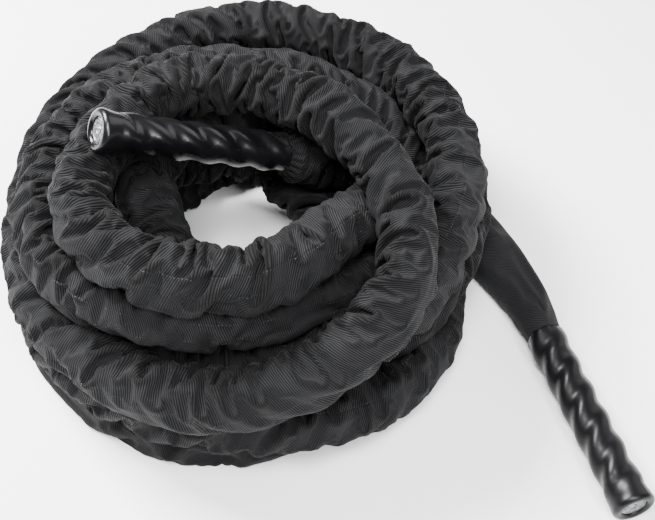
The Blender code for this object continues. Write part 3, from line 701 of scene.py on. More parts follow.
def over_ends(height):
    """Share of the cuff's or the tape's thickness that lies under the tube at a height."""
    over_cuff = 1 - np.clip((height - CUFF_LENGTH) / RAMP_LENGTH, 0, 1)
    over_tape = 1 - np.clip((TAPE_START - height) / RAMP_LENGTH, 0, 1)
    return over_cuff + over_tape


def tube_radius(sizes, angle, height):
    """Outer radius of the shrink tube at an angle and a height of the grip's own frame."""
    height = np.asarray(height, float)
    near_mouth = np.clip(1 - height / MOUTH_EASE, 0, 1)
    near_lip = np.clip((height - (LIP_START - LIP_EASE)) / LIP_EASE, 0, 1)
    lobed = 1 - MOUTH_LOSS * near_mouth - LIP_LOSS * near_lip
    return sizes.valley_radius + LAP * over_ends(height) + sizes.crest_height * (
        lobed * swell(angle, height) + (1 - lobed) * MEAN_SWELL)


class Cloth:
    """The sleeve's cloth as rings of points, settled round the rope step by step.

    points has one row for each ring and one column for each place round the sleeve. Each point keeps
    its distances to its neighbours, stays outside the rope, inside the plane half way to any other pass
    of the rope, and above the floor. What it can't shorten, it folds."""

    # Spacing of the rope line's samples, and of the places where other passes are looked for, in samples
    CONTACT_STEP = 0.001
    CONTACT_EVERY = 5

    # How close another pass has to be, how far off along the rope, and how many count at one place
    REACH = 0.068
    APART = 0.10
    MOST = 6

    # Samples of a grip, how many of them count as the mouth that the cloth goes into, where they
    # start, and how close to a grip's middle the cloth may come
    GRIP_SAMPLES = 60
    OWN_SAMPLES = 12
    GRIP_START = 0.003
    GRIP_ROOM = 0.0235

    # The widest that the cloth may stand from the rope, which holds nothing back, and how fast it gets
    # to its free radius past a grip
    WIDEST = 1.0
    TAPER_POWER = 0.8

    # Height of the lowest cloth
    FLOOR = 0.0008

    # Samples on each side over which a bend is measured
    BEND_SAMPLES = 30

    # Radius of the cloth at the start, the depths of its broad and its narrow waves, how far its rings
    # lean along the sleeve, how many rings it takes to lean from a grip, how far the seam wanders
    # round the sleeve, and from where
    START_RADIUS = 0.0275
    BROAD_WAVE = 0.0022
    NARROW_WAVE = 0.0010
    LEAN = 0.007
    LEAN_RINGS = 40
    SEAM_WANDER = 0.9
    SEAM_ANGLE = math.radians(125)

    def __init__(self, sizes, line, tied):
        self.sizes = sizes
        self.line = line.astype(np.float32)
        self.tangent = unit(np.gradient(line, axis=0)).astype(np.float32)
        self.tied = tied
        self.find_passes(line)
        lengths = np.arange(len(line)) * self.CONTACT_STEP
        widest = np.full(len(line), self.WIDEST)
        for away, taper in ((lengths, UPPER_TAPER), (lengths[::-1], LOWER_TAPER)):
            share = np.clip((away - TUCK) / taper, 0, 1)
            limit = NECK_RADIUS + (FREE_RADIUS - NECK_RADIUS) * share ** self.TAPER_POWER
            widest = np.minimum(widest, np.where(share < 1, limit, self.WIDEST))
        self.widest = widest.astype(np.float32)

    def find_passes(self, line):
        """Direction of each other pass of the rope, and of each grip, near a sample, and the cloth's room
        towards it."""
        places = line[::self.CONTACT_EVERY]
        count = len(places)
        self.towards = np.zeros((count, self.MOST, 3), np.float32)
        self.room = np.full((count, self.MOST), self.WIDEST, np.float32)
        skip = int(self.APART / self.CONTACT_STEP / self.CONTACT_EVERY)
        bars = []
        for mouth, turn in grip_frames().values():
            heights = np.linspace(self.GRIP_START, GRIP_LENGTH, self.GRIP_SAMPLES)
            bars.append(mouth + turn[:, 2] * heights[:, None])
        for index, place in enumerate(places):
            found = []
            gaps = np.linalg.norm(places - place, axis=1)
            near = gaps < self.REACH
            near[max(0, index - skip):index + skip + 1] = False
            hits = np.nonzero(near)[0]
            if len(hits):
                for group in np.split(hits, np.nonzero(np.diff(hits) > 1)[0] + 1):
                    best = group[gaps[group].argmin()]
                    found.append((gaps[best] / 2, gaps[best], places[best]))
            for side, bar in enumerate(bars):
                gaps = np.linalg.norm(bar - place, axis=1)
                best = gaps.argmin()
                own = index < skip if side == 0 else index >= count - skip
                if gaps[best] < self.REACH and not (own and best < self.OWN_SAMPLES):
                    found.append((gaps[best] - self.GRIP_ROOM, gaps[best], bar[best]))
            nearest = sorted(found, key=lambda hit: hit[0])[:self.MOST]
            for slot, (room, gap, other) in enumerate(nearest):
                self.towards[index, slot] = (other - place) / gap
                self.room[index, slot] = room

    def start(self, spare, columns, ring_step):
        """Lays the cloth round the rope, with more rings where a bend or a gather takes up more of it."""
        rng = np.random.default_rng(self.sizes.weave_seed)
        line = self.line.astype(float)
        samples = np.arange(len(line)) * self.CONTACT_STEP
        before = np.maximum(np.arange(len(line)) - self.BEND_SAMPLES, 0)
        after = np.minimum(np.arange(len(line)) + self.BEND_SAMPLES, len(line) - 1)
        turn = np.linalg.norm(self.tangent[after] - self.tangent[before], axis=1)
        bend = turn / ((after - before) * self.CONTACT_STEP)

        # Spare cloth lies in bunches, with hardly any between them
        bunch = 0.5 + 0.5 * smooth_noise(rng, len(line), 1, ring_scale=70, waves=0)[:, 0]
        excess = 1 + bend * self.sizes.cloth_radius + spare * (0.1 + 1.8 * np.clip(bunch, 0, 1.6))
        cloth = np.concatenate([[0], np.cumsum((excess[1:] + excess[:-1]) / 2 * self.CONTACT_STEP)])
        count = int(cloth[-1] / ring_step)
        self.ring_step = cloth[-1] / (count - 1)
        self.column_step = 2 * math.pi * self.sizes.cloth_radius / columns
        self.at = at = np.interp(np.arange(count) * self.ring_step, cloth, samples)

        # The seam wanders round the sleeve, the cloth waves, and its rings lean
        drift = self.SEAM_WANDER * smooth_noise(rng, count, 1, ring_scale=90, waves=0)[:, 0]
        turned = self.SEAM_ANGLE + drift[:, None] + circle(columns)[None]
        broad = smooth_noise(rng, count, columns, ring_scale=5, waves=2)
        narrow = smooth_noise(rng, count, columns, ring_scale=2, waves=4)
        radius = self.START_RADIUS + broad * self.BROAD_WAVE + narrow * self.NARROW_WAVE
        slant = smooth_noise(rng, count, columns, ring_scale=45, waves=1) * self.LEAN
        ends = np.minimum(np.arange(count), np.arange(count)[::-1])
        slant *= np.minimum(ends / self.LEAN_RINGS, 1)[:, None]
        index = np.rint((at[:, None] + slant) / self.CONTACT_STEP).astype(int)
        index = np.clip(index, 0, len(line) - 1)

        # Near the lower grip the cloth lies wider and flatter
        tangent = self.tangent.astype(float)
        side = unit(np.cross(tangent, (0, 0, 1)))
        top = np.cross(side, tangent)
        calm = calm_share(len(line) * self.CONTACT_STEP - at)
        flat = (1 + 0.3 * calm) * np.cos(turned)[..., None] * side[index]
        flat += (1 - 0.2 * calm) * np.sin(turned)[..., None] * top[index]
        self.points = (line[index] + radius[..., None] * flat).astype(np.float32)

    def refine(self):
        """Twice as many rings and columns."""
        old = self.points
        rings, columns = old.shape[:2]
        new = np.zeros((2 * rings - 1, 2 * columns, 3), old.dtype)
        new[::2, ::2] = old
        new[::2, 1::2] = (old + np.roll(old, -1, axis=1)) / 2
        new[1::2] = (new[:-2:2] + new[2::2]) / 2
        at = np.zeros(2 * rings - 1)
        at[::2] = self.at
        at[1::2] = (self.at[:-1] + self.at[1:]) / 2
        self.points, self.at = new, at
        self.ring_step /= 2
        self.column_step /= 2

    @staticmethod
    def pull(first, second, rest, stretch, squeeze):
        """Moves two slices of points towards their rest distance, more firmly when stretched."""
        apart = second - first
        length = np.sqrt(np.einsum("ijk,ijk->ij", apart, apart)) + TINY
        error = (length - rest) / length
        error *= np.where(error > 0, stretch * 0.5, squeeze * 0.5)
        apart *= error[..., None]
        first += apart
        second -= apart

    def pull_rings(self, squeeze, bend):
        """Keeps each ring's distance to the next, and to the one after that, which stiffens the cloth."""
        points = self.points
        rings = len(points)
        for odd in (0, 1):
            stop = (rings - odd) // 2 * 2 + odd
            self.pull(points[odd:stop:2], points[odd + 1:stop:2], self.ring_step, 1, squeeze)
        for odd in (0, 1, 2, 3):
            stop = (rings - odd) // 4 * 4 + odd
            self.pull(points[odd:stop:4], points[odd + 2:stop:4], 2 * self.ring_step, 0, bend)

    def pull_columns(self, squeeze, bend):
        """The same round the sleeve."""
        points = self.points
        columns = points.shape[1]
        self.pull(points[:, 0::2], points[:, 1::2], self.column_step, 1, squeeze)
        self.pull(points[:, 1:columns - 1:2], points[:, 2::2], self.column_step, 1, squeeze)
        self.pull(points[:, columns - 1:], points[:, :1], self.column_step, 1, squeeze)
        for odd in (0, 1, 2, 3):
            chosen = np.arange(odd, columns, 4)
            other = (chosen + 2) % columns
            first, second = points[:, chosen], points[:, other]
            self.pull(first, second, 2 * self.column_step, 0, bend)
            points[:, chosen], points[:, other] = first, second

    def pull_slants(self, firm):
        """Keeps the diagonals, which holds the weave square."""
        rest = math.hypot(self.ring_step, self.column_step)
        rings = len(self.points)
        for odd in (0, 1):
            stop = (rings - odd) // 2 * 2 + odd
            low, high = self.points[odd:stop:2], self.points[odd + 1:stop:2]
            self.pull(low[:, :-1], high[:, 1:], rest, firm, firm)
            self.pull(low[:, -1:], high[:, :1], rest, firm, firm)
            self.pull(low[:, 1:], high[:, :-1], rest, firm, firm)
            self.pull(low[:, :1], high[:, -1:], rest, firm, firm)

    def keep_clear(self, along):
        """Keeps the points outside the rope, inside their own room and above the floor."""
        points = self.points
        last = len(self.line) - 1
        index = np.clip(np.rint(along / self.CONTACT_STEP).astype(np.int32), 0, last)
        centre, tangent = self.line[index], self.tangent[index]
        off = points - centre
        ahead = np.einsum("ijk,ijk->ij", off, tangent)
        along += ahead
        np.clip(along, 0, last * self.CONTACT_STEP, out=along)
        off -= ahead[..., None] * tangent
        radius = np.sqrt(np.einsum("ijk,ijk->ij", off, off)) + TINY
        points += off * (np.maximum(self.sizes.rope_radius - radius, 0) / radius)[..., None]
        points -= off * (np.maximum(radius - self.widest[index], 0) / radius)[..., None]
        index = np.minimum(index // self.CONTACT_EVERY, len(self.room) - 1)
        for slot in range(self.MOST):
            towards = self.towards[index, slot]
            over = np.einsum("ijk,ijk->ij", points - centre, towards) - self.room[index, slot]
            points -= np.maximum(over, 0)[..., None] * towards
        np.maximum(points[..., 2], self.FLOOR, out=points[..., 2])

    def settle(self, rounds, weight, squeeze_rings, squeeze_columns, slant, bend):
        """Steps the cloth until it hangs and folds as it will."""
        along = np.broadcast_to(self.at[:, None], self.points.shape[:2]).astype(np.float32).copy()
        for _ in range(rounds):
            self.points[..., 2] -= weight
            self.pull_rings(squeeze_rings, bend)
            self.pull_columns(squeeze_columns, bend)
            self.pull_slants(slant)
            self.keep_clear(along)
            self.tied(self)


def smooth_noise(rng, rings, columns, ring_scale, waves):
    """Smooth random field about 1 in size, with no jump where the columns close."""
    steps = np.arange(rings) / ring_scale
    whole = steps.astype(int)
    share = steps - whole
    share = share * share * (3 - 2 * share)
    angle = circle(columns)
    total = np.zeros((rings, columns))
    for wave in range(waves + 1):
        for shift in (0, math.pi / 2):
            knots = rng.normal(size=whole[-1] + 2)
            value = knots[whole] * (1 - share) + knots[whole + 1] * share
            total += value[:, None] * np.cos(wave * angle + shift)
    return total / math.sqrt(waves + 1)


def calm_share(left):
    """1 where less than the calm length of rope is left before the lower grip, 0 well above it."""
    return np.clip((CALM_LENGTH - left) / CALM_TAPER, 0, 1)[:, None, None]


def tie_to_grips(cloth):
    """Holds the cloth's first and last rings tucked under the grips' mouths."""
    sizes = bpy.context.scene.battle_rope_grip
    rings = TIED_RINGS - 1 if cloth.ring_step > COARSE_STEP else TIED_RINGS
    for side, rows in (("a", range(rings)), ("b", range(-rings, 0))):
        mouth, turn = grip_frames()[side]
        for row in rows:
            points = cloth.points[row].astype(float)
            local = (points - mouth) @ turn
            angle = np.arctan2(local[:, 1], local[:, 0])
            steps = row if side == "a" else -1 - row
            height = TUCK * (1 - steps / (rings - 1))
            radius = tube_radius(sizes, angle, height) - sizes.wall - TUCK_GAP
            cloth.points[row] = ring_points(radius, angle, height) @ turn.T + mouth


def gather_cloth(sizes):
    """Settled cloth of the whole sleeve."""
    ends = [mouth + turn[:, 2] * TUCK for mouth, turn in grip_frames().values()]
    line = centre_line(np.vstack([ends[0], ROUTE, ends[1]]), Cloth.CONTACT_STEP)
    lengths = arc_lengths(line)
    stops = [lengths[np.linalg.norm(line - ROUTE[number], axis=1).argmin()] for number, _ in SPARE_CLOTH]
    spare = np.interp(lengths, stops, [share for _, share in SPARE_CLOTH])
    cloth = Cloth(sizes, line, tie_to_grips)
    cloth.start(spare, START_COLUMNS, START_STEP)
    cloth.settle(sizes.first_rounds, weight=0.00002, squeeze_rings=0.9, squeeze_columns=0.7, slant=0.3,
                 bend=0.02)
    cloth.refine()
    firm = {"squeeze_rings": 1.0, "squeeze_columns": 0.9, "slant": 0.5, "bend": 0.04}
    cloth.settle(sizes.last_rounds, weight=0.00001, **firm)
    cloth.refine()
    cloth.settle(sizes.last_rounds // 3, weight=0.0, **firm)
    finish_folds(cloth, lengths[-1])
    return cloth


def finish_folds(cloth, length):
    """Smooths the calm cloth, draws the folds of the rest out and keeps them off the floor."""
    calm = calm_share(length - cloth.at)
    for number in range(CALM_PASSES):
        ease = 0.3 + 0.3 * calm if number == 0 else 0.6 * calm
        cloth.points[FREE_RINGS] += (ease * (neighbours(cloth.points, 1) - cloth.points))[FREE_RINGS]
    points = cloth.points.astype(float)
    normals = surface_normals(points)
    height = fold_offsets(points, normals, 3)
    height = np.where(height > 0, CREST_LIFT, VALLEY_LIFT) * height * (1 - calm[..., 0])
    cloth.points[FREE_RINGS] += (height[..., None] * normals)[FREE_RINGS].astype(np.float32)
    np.maximum(cloth.points[..., 2], cloth.FLOOR, out=cloth.points[..., 2])


def grid_mesh(name, points):
    """Mesh of a grid of points: rows are rings, and columns close round."""
    rings, columns = points.shape[:2]
    row = np.arange(rings - 1)[:, None] * columns
    column = np.arange(columns)[None]
    after = (column + 1) % columns
    faces = np.stack([row + column, row + after, row + columns + after, row + columns + column], -1)
    faces = faces.reshape(-1, 4)
    mesh = bpy.data.meshes.new(name)
    mesh.vertices.add(rings * columns)
    mesh.vertices.foreach_set("co", points.astype(np.float32).ravel())
    mesh.loops.add(faces.size)
    mesh.loops.foreach_set("vertex_index", faces.astype(np.int32).ravel())
    mesh.polygons.add(len(faces))
    mesh.polygons.foreach_set("loop_start", np.arange(0, faces.size, 4, dtype=np.int32))
    mesh.update(calc_edges=True)
    mesh.validate()
    mesh.shade_smooth()
    return mesh


def surface_normals(points):
    """Normal of each point of a closed grid, outwards."""
    along = np.gradient(points, axis=0)
    around = np.roll(points, -1, axis=1) - np.roll(points, 1, axis=1)
    normals = np.cross(around, along)
    return normals / np.maximum(np.linalg.norm(normals, axis=-1, keepdims=True), TINY)


def neighbours(values, wide):
    """Mean of the four values that lie a few rings or columns away from each place of a closed grid."""
    after = np.concatenate([values[wide:], values[-wide:]])
    before = np.concatenate([values[:wide], values[:-wide]])
    around = np.roll(values, -wide, axis=1) + np.roll(values, wide, axis=1)
    return (after + before + around) / 4


def fold_offsets(points, normals, wide):
    """How far each point stands out of its surroundings, a few rings or columns wide."""
    height = ((points - neighbours(points, wide)) * normals).sum(-1)
    return 0.5 * height + 0.5 * neighbours(height, 1)


def fold_heights(points, normals, ring_step):
    """The same as a share of a deep fold: 1 on a sharp crest, -1 in a deep valley."""
    return np.clip(fold_offsets(points, normals, 2) / (DEEP_FOLD * ring_step), -1, 1)


def sleeve_piece(name, cloth, normals, folds, first, last, material):
    """One length of the sleeve as a piece, with the cloth's own coordinates for the weave."""
    points = cloth.points[first:last + 1].astype(float)
    rings, columns = points.shape[:2]
    mesh = grid_mesh(name, points)
    row = np.arange(rings - 1)[:, None]
    column = np.arange(columns)[None]
    corners = []
    for ring, side in ((0, 0), (0, 1), (1, 1), (1, 0)):
        u = np.broadcast_to((row + first + ring) * cloth.ring_step, (rings - 1, columns))
        v = np.broadcast_to((column + side) * cloth.column_step, (rings - 1, columns))
        corners.append(np.stack([u, v], -1))
    layer = mesh.uv_layers.new(name="cloth")

    # The last quarter of the way round counts up to zero, so that the seam lies in one stretch
    places = np.stack(corners, 2)
    whole = columns * cloth.column_step
    places[..., 1] -= np.where(places[..., 1:2, 1] > 0.75 * whole, whole, 0)
    layer.data.foreach_set("uv", places.astype(np.float32).ravel())
    # Fold heights, which the cloth's material turns into painted shade in the deep valleys
    fold = mesh.attributes.new("fold", "FLOAT", "POINT")
    fold.data.foreach_set("value", folds[first:last + 1].astype(np.float32).ravel())
    mesh.normals_split_custom_set_from_vertices(normals[first:last + 1].reshape(-1, 3).tolist())
    return show(name, mesh, material)


class LayRope(bpy.types.Operator):
    """Lays the three-strand rope along its route inside the sleeve"""

    bl_idname = "battle_rope.lay_rope"
    bl_label = "Lay the rope"

    def execute(self, context):
        sizes = context.scene.battle_rope_core
        line = centre_line(ROUTE, ROPE_LINE_STEP)
        curve = bpy.data.curves.new("rope_line", "CURVE")
        curve.dimensions = "3D"
        spline = curve.splines.new("POLY")
        spline.points.add(len(line) - 1)
        spline.points.foreach_set("co", np.hstack([line, np.ones((len(line), 1))]).ravel())
        item = bpy.data.objects.new("laid_rope", curve)
        context.scene.collection.objects.link(item)
        set_nodes(item, rope_nodes(), {
            "Strand radius": sizes.strand_radius, "Strand circle": sizes.strand_circle,
            "Lay pitch": sizes.lay_pitch, "Ring spacing": sizes.ring_spacing,
            "Yarn": laid_yarn("polyester_rope_yarn", sizes.yarn_colour),
        })
        attach(plain_mesh(item), "rope", "rope_core")
        return {"FINISHED"}


def new_tree(name, sockets):
    """Geometry node tree with named inputs; gives back the tree, its input node and its output node."""
    tree = bpy.data.node_groups.new(name, "GeometryNodeTree")
    tree.interface.new_socket("Geometry", in_out="INPUT", socket_type="NodeSocketGeometry")
    for label, kind in sockets.items():
        tree.interface.new_socket(label, in_out="INPUT", socket_type=kind)
    tree.interface.new_socket("Geometry", in_out="OUTPUT", socket_type="NodeSocketGeometry")
    return tree, tree.nodes.new("NodeGroupInput"), tree.nodes.new("NodeGroupOutput")


def set_nodes(item, tree, values):
    """Puts a tree on an object, with the values of its named inputs."""
    modifier = item.modifiers.new(tree.name, "NODES")
    modifier.node_group = tree
    for socket in tree.interface.items_tree:
        if socket.in_out == "INPUT" and socket.name in values:
            modifier[socket.identifier] = values[socket.name]


def rope_nodes():
    """Tree that sweeps three strands along the line, turned once in each lay pitch."""
    tree, given, made = new_tree("laid_strands", {
        "Strand radius": "NodeSocketFloat", "Strand circle": "NodeSocketFloat",
        "Lay pitch": "NodeSocketFloat", "Ring spacing": "NodeSocketFloat", "Yarn": "NodeSocketMaterial",
    })
    value = given.outputs
    even = add_node(tree, "GeometryNodeResampleCurve",
                    links={"Curve": value["Geometry"], "Length": value["Ring spacing"]}, mode="LENGTH")
    place = add_node(tree, "GeometryNodeSplineParameter")
    laps = add_node(tree, "ShaderNodeMath", links={0: place.outputs["Length"], 1: value["Lay pitch"]},
                    operation="DIVIDE")
    turn = add_node(tree, "ShaderNodeMath", {1: 2 * math.pi}, {0: laps}, operation="MULTIPLY")
    tilted = add_node(tree, "GeometryNodeSetCurveTilt", links={"Curve": even, "Tilt": turn})
    middles = add_node(tree, "GeometryNodeCurvePrimitiveCircle", {"Resolution": STRAND_COUNT},
                       {"Radius": value["Strand circle"]})
    strand = add_node(tree, "GeometryNodeCurvePrimitiveCircle", {"Resolution": STRAND_SIDES},
                      {"Radius": value["Strand radius"]})
    three = add_node(tree, "GeometryNodeInstanceOnPoints", links={"Points": middles, "Instance": strand})
    profile = add_node(tree, "GeometryNodeRealizeInstances", links={0: three})
    swept = add_node(tree, "GeometryNodeCurveToMesh", {"Fill Caps": True},
                     {"Curve": tilted, "Profile Curve": profile})
    smooth = add_node(tree, "GeometryNodeSetShadeSmooth", links={0: swept})
    whole = add_node(tree, "GeometryNodeRealizeInstances", links={0: smooth})
    finish = add_node(tree, "GeometryNodeSetMaterial",
                      links={"Geometry": whole, "Material": value["Yarn"]})
    tree.links.new(finish.outputs[0], made.inputs[0])
    return tree


class GatherSleeve(bpy.types.Operator):
    """Gathers the fabric sleeve round the rope and sews its seam"""

    bl_idname = "battle_rope.gather_sleeve"
    bl_label = "Gather the sleeve"

    def execute(self, context):
        sizes = context.scene.battle_rope_sleeve
        cloth = gather_cloth(sizes)
        points = cloth.points.astype(float)
        normals = surface_normals(points)
        folds = fold_heights(points, normals, cloth.ring_step)
        material = ribbed_polyester(sizes)
        count = len(points)
        pieces = math.ceil(2 * count * points.shape[1] / PIECE_TRIANGLES)
        cuts = [round(number * (count - 1) / pieces) for number in range(pieces + 1)]
        for number, (first, last) in enumerate(zip(cuts, cuts[1:]), 1):
            item = sleeve_piece(f"sleeve_{number}", cloth, normals, folds, first, last, material)
            attach(item, "sleeve", "sleeve_tail" if number == pieces else "sleeve_coil")
        sew_seam(sizes, cloth, normals)
        return {"FINISHED"}


def sew_seam(sizes, cloth, normals):
    """Two rows of stitches along the seam, laid by Geometry Nodes on lines of the cloth."""
    tree = stitch_nodes()
    thread = sewing_thread()
    width = round(sizes.seam_width / cloth.column_step)
    for number, column in enumerate((0, width), 1):
        line = cloth.points[FREE_RINGS, column].astype(float) + normals[FREE_RINGS, column] * STITCH_RISE
        np.maximum(line[:, 2], sizes.stitch_radius, out=line[:, 2])
        mesh = bpy.data.meshes.new(f"stitch_line_{number}")
        edges = np.stack([np.arange(len(line) - 1), np.arange(1, len(line))], 1)
        mesh.from_pydata(line.tolist(), edges.tolist(), [])
        item = show(f"seam_stitches_{number}", mesh)
        set_nodes(item, tree, {
            "Pitch": sizes.stitch_pitch, "Thread radius": sizes.stitch_radius,
            "Stitch length": sizes.stitch_pitch * STITCH_SHARE, "Thread": thread,
        })
        attach(plain_mesh(item), "sleeve")


def stitch_nodes():
    """Tree that lays short round stitches end to end along a line, with a gap between two."""
    tree, given, made = new_tree("seam_stitches", {
        "Pitch": "NodeSocketFloat", "Thread radius": "NodeSocketFloat",
        "Stitch length": "NodeSocketFloat", "Thread": "NodeSocketMaterial",
    })
    value = given.outputs
    line = add_node(tree, "GeometryNodeMeshToCurve", links={"Mesh": value["Geometry"]})
    even = add_node(tree, "GeometryNodeResampleCurve", links={"Curve": line, "Length": value["Pitch"]},
                    mode="LENGTH")
    ahead = add_node(tree, "GeometryNodeInputTangent")
    turn = add_node(tree, "FunctionNodeAlignRotationToVector", links={"Vector": ahead}, axis="Z")
    bead = add_node(tree, "GeometryNodeMeshIcoSphere", {"Radius": 1.0, "Subdivisions": 1})
    half = add_node(tree, "ShaderNodeMath", {1: 0.5}, {0: value["Stitch length"]}, operation="MULTIPLY")
    thick = value["Thread radius"]
    size = add_node(tree, "ShaderNodeCombineXYZ", links={0: thick, 1: thick, 2: half})
    placed = add_node(tree, "GeometryNodeInstanceOnPoints",
                      links={"Points": even, "Instance": bead, "Rotation": turn, "Scale": size})
    whole = add_node(tree, "GeometryNodeRealizeInstances", links={0: placed})
    smooth = add_node(tree, "GeometryNodeSetShadeSmooth", links={0: whole})
    finish = add_node(tree, "GeometryNodeSetMaterial",
                      links={"Geometry": smooth, "Material": value["Thread"]})
    tree.links.new(finish.outputs[0], made.inputs[0])
    return tree


def place_on_grip(side, rows):
    """Rings given in a grip's own frame, carried to where the grip is."""
    mouth, turn = grip_frames()[side]
    return np.asarray(rows) @ turn.T + mouth


def grip_rows(sizes):
    """Rings of a grip's skin in its own frame: up the outside, over the lip, and back inside."""
    angle = circle(GRIP_COLUMNS)
    rows = []

    def ring(radius, height):
        rows.append(ring_points(radius, angle, height))

    # Up the outside, with creases at the mouth
    flare_start = LIP_START - FLARE_LENGTH
    uneven = sum(depth * np.sin(number * angle + start) for depth, number, start in CREASES)
    for height in np.arange(0.0, flare_start, OUTER_RINGS):
        near = max(0.0, 1 - height / CREASE_LENGTH) ** 2
        ring(tube_radius(sizes, angle, height) + 0.5 * near * uneven,
             height + near * (uneven - CREASE_PULL))

    # The flare and the rolled lip
    rolled = sizes.lip_roll
    low = tube_radius(sizes, angle, flare_start)
    for share in np.linspace(0, 1, FLARE_RINGS):
        ease = share * share * (3 - 2 * share)
        ring(low * (1 - ease) + sizes.lip_radius * ease,
             flare_start + share * (GRIP_LENGTH - rolled - flare_start))
    for turn in np.linspace(0, math.pi, LIP_RINGS)[1:]:
        ring(sizes.lip_radius - rolled + rolled * math.cos(turn),
             GRIP_LENGTH - rolled + rolled * math.sin(turn) * LIP_FLATNESS)
    ring(sizes.lip_radius - 2 * rolled + 0.4 * MM, GRIP_LENGTH - rolled - 0.2 * MM)

    # Down past the disc's edge and back to the mouth
    ring(DISC_RADIUS + 0.1 * MM, DISC_FACE - 0.3 * MM)
    ring(DISC_RADIUS + 0.1 * MM, DISC_FACE - 2.2 * MM)
    for height in (*np.arange(LIP_START - 3 * MM, 0.0, -INNER_RINGS), 0.0):
        ring(tube_radius(sizes, angle, height) - sizes.wall, height)
    rows.append(rows[0].copy())
    return np.array(rows)


class ShrinkGrips(bpy.types.Operator):
    """Shrinks a glossy tube with a rolled lip over each end of the rope"""

    bl_idname = "battle_rope.shrink_grips"
    bl_label = "Shrink the grips"

    def execute(self, context):
        sizes = context.scene.battle_rope_grip
        tint = sizes.film_colour

        # The upper film is glossy. The lower one is scuffed from the floor, so its highlights spread out.
        films = {
            "a": shrunk_film("polyolefin_shrink_tube", tint, gloss=0.36, polished=0.20, worn=0.32),
            "b": shrunk_film("scuffed_polyolefin_shrink_tube", tint, gloss=0.18, polished=0.31,
                             worn=0.40),
        }
        for side, material in films.items():
            rows = place_on_grip(side, grip_rows(sizes))
            rows[..., 2] = np.maximum(rows[..., 2], 0)
            mesh = grid_mesh(f"shrink_tube_{side}", rows)
            merge_doubles(mesh)
            attach(show(mesh.name, mesh, material), "film", f"grip_{side}")
        return {"FINISHED"}


def merge_doubles(mesh):
    """Closes the mesh where its last ring lies on its first, and turns its faces outwards."""
    shape = bmesh.new()
    shape.from_mesh(mesh)
    bmesh.ops.remove_doubles(shape, verts=shape.verts, dist=0.01 * MM)
    bmesh.ops.recalc_face_normals(shape, faces=shape.faces)
    shape.to_mesh(mesh)
    shape.free()
    mesh.shade_smooth()


class FitDiscs(bpy.types.Operator):
    """Sets a round plug with a silver-grey foiled face into the end of each grip"""

    bl_idname = "battle_rope.fit_discs"
    bl_label = "Fit the end discs"

    def execute(self, context):
        material = pressed_disc()
        angle = circle(DISC_COLUMNS)
        rows = [ring_points(DISC_RADIUS - inset * MM, angle, DISC_FACE - depth * MM)
                for inset, depth in DISC_SECTION]
        for side in ("a", "b"):
            mesh = grid_mesh(f"end_plug_{side}", place_on_grip(side, rows))
            merge_doubles(mesh)
            mesh.set_sharp_from_angle(angle=math.radians(35))
            attach(show(mesh.name, mesh, material), "disc", f"end_disc_{side}")
        return {"FINISHED"}


class FinishEnds(bpy.types.Operator):
    """Gives the strands, cuffs and tapes under the grips their real finishes"""

    bl_idname = "battle_rope.finish_ends"
    bl_label = "Finish the ends"

    def execute(self, context):
        yarn_colour = context.scene.battle_rope_core.yarn_colour
        finishes = {
            "strand": laid_yarn("polyester_strand_yarn", yarn_colour),
            "sleeve_cuff": laid_yarn("polyester_cuff_cloth", linear("#3A3A3D")[:3]),
            "end_tape": woven_tape(),
        }
        for name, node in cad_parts.items():
            for start, material in finishes.items():
                if name.startswith(start):
                    node.data.materials.clear()
                    node.data.materials.append(material)
        return {"FINISHED"}


class DeclareRope(bpy.types.Operator):
    """Works out the rope's centre line, and does nothing more with it"""

    bl_idname = "battle_rope.declare_rope"
    bl_label = "Declare the rope"

    def execute(self, context):
        line = centre_line(ROUTE, CORD_LINE_STEP)
        return {"FINISHED"}


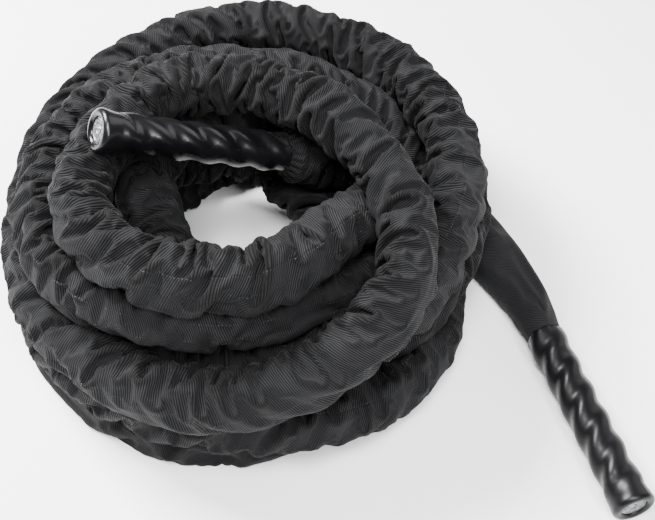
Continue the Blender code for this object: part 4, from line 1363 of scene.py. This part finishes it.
class SetStage(bpy.types.Operator):
    """Makes the pale floor, the soft lights and the camera"""

    bl_idname = "battle_rope.set_stage"
    bl_label = "Set the stage"

    def execute(self, context):
        sizes = context.scene.battle_rope_stage
        signs = ((-1, -1), (1, -1), (1, 1), (-1, 1))
        corners = [(across * FLOOR_REACH, back * FLOOR_REACH, 0) for across, back in signs]
        mesh = bpy.data.meshes.new("studio_floor")
        mesh.from_pydata(corners, [], [(0, 1, 2, 3)])
        show("studio_floor", mesh, studio_paper(sizes.floor_colour))

        world = bpy.data.worlds.new("studio_air")
        world.use_nodes = True
        air = world.node_tree.nodes["Background"]
        air.inputs["Color"].default_value = (1, 1, 1, 1)
        air.inputs["Strength"].default_value = sizes.sky_strength
        context.scene.world = world

        aim = Vector(CAMERA_TARGET)
        for name, place, width, height, power in STUDIO_LIGHTS:
            light = bpy.data.lights.new(name, "AREA")
            light.shape = "RECTANGLE"
            light.size = width
            light.size_y = height
            light.energy = getattr(sizes, power)
            item = bpy.data.objects.new(name, light)
            item.location = place
            item.rotation_euler = (aim - Vector(place)).to_track_quat("-Z", "Y").to_euler()
            context.scene.collection.objects.link(item)

        view = bpy.data.cameras.new("photo_camera")
        view.sensor_width = SENSOR_WIDTH
        view.lens = sizes.camera_lens
        camera = bpy.data.objects.new("photo_camera", view)
        level = sizes.camera_elevation
        back = Vector((0, -math.cos(level), math.sin(level))) * sizes.camera_distance
        camera.location = aim + back
        camera.rotation_euler = (math.pi / 2 - level, 0, 0)
        context.scene.collection.objects.link(camera)
        context.scene.camera = camera
        return {"FINISHED"}


OPERATORS = (SetStage, LayRope, GatherSleeve, ShrinkGrips, FitDiscs, FinishEnds, DeclareRope)
SETTINGS = {
    "battle_rope_core": RopeSizes,
    "battle_rope_sleeve": SleeveSizes,
    "battle_rope_grip": GripSizes,
    "battle_rope_stage": StageSizes,
}


class BattleRopePanel(bpy.types.Panel):
    """Lists the steps and the sizes"""

    bl_idname = "VIEW3D_PT_battle_rope"
    bl_label = "Battle rope"
    bl_space_type = "VIEW_3D"
    bl_region_type = "UI"
    bl_category = "Battle rope"

    def draw(self, context):
        for step in OPERATORS:
            self.layout.operator(step.bl_idname)
        for name, group in SETTINGS.items():
            box = self.layout.box()
            box.label(text=group.__doc__)
            for size in group.__annotations__:
                box.prop(getattr(context.scene, name), size)


def register():
    """Makes the settings, the steps and the panel known."""
    for group in (*SETTINGS.values(), *OPERATORS, BattleRopePanel):
        bpy.utils.register_class(group)
    for name, group in SETTINGS.items():
        setattr(bpy.types.Scene, name, bpy.props.PointerProperty(type=group))


def unregister():
    """Takes them out again."""
    for name in SETTINGS:
        delattr(bpy.types.Scene, name)
    for group in reversed((*SETTINGS.values(), *OPERATORS, BattleRopePanel)):
        bpy.utils.unregister_class(group)


def main():
    """Builds the whole rope and its stage."""
    register()
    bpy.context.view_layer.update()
    bpy.ops.battle_rope.set_stage()
    bpy.ops.battle_rope.lay_rope()
    bpy.ops.battle_rope.gather_sleeve()
    bpy.ops.battle_rope.shrink_grips()
    bpy.ops.battle_rope.fit_discs()
    bpy.ops.battle_rope.finish_ends()
    bpy.ops.battle_rope.declare_rope()


if __name__ == "__main__":
    main()
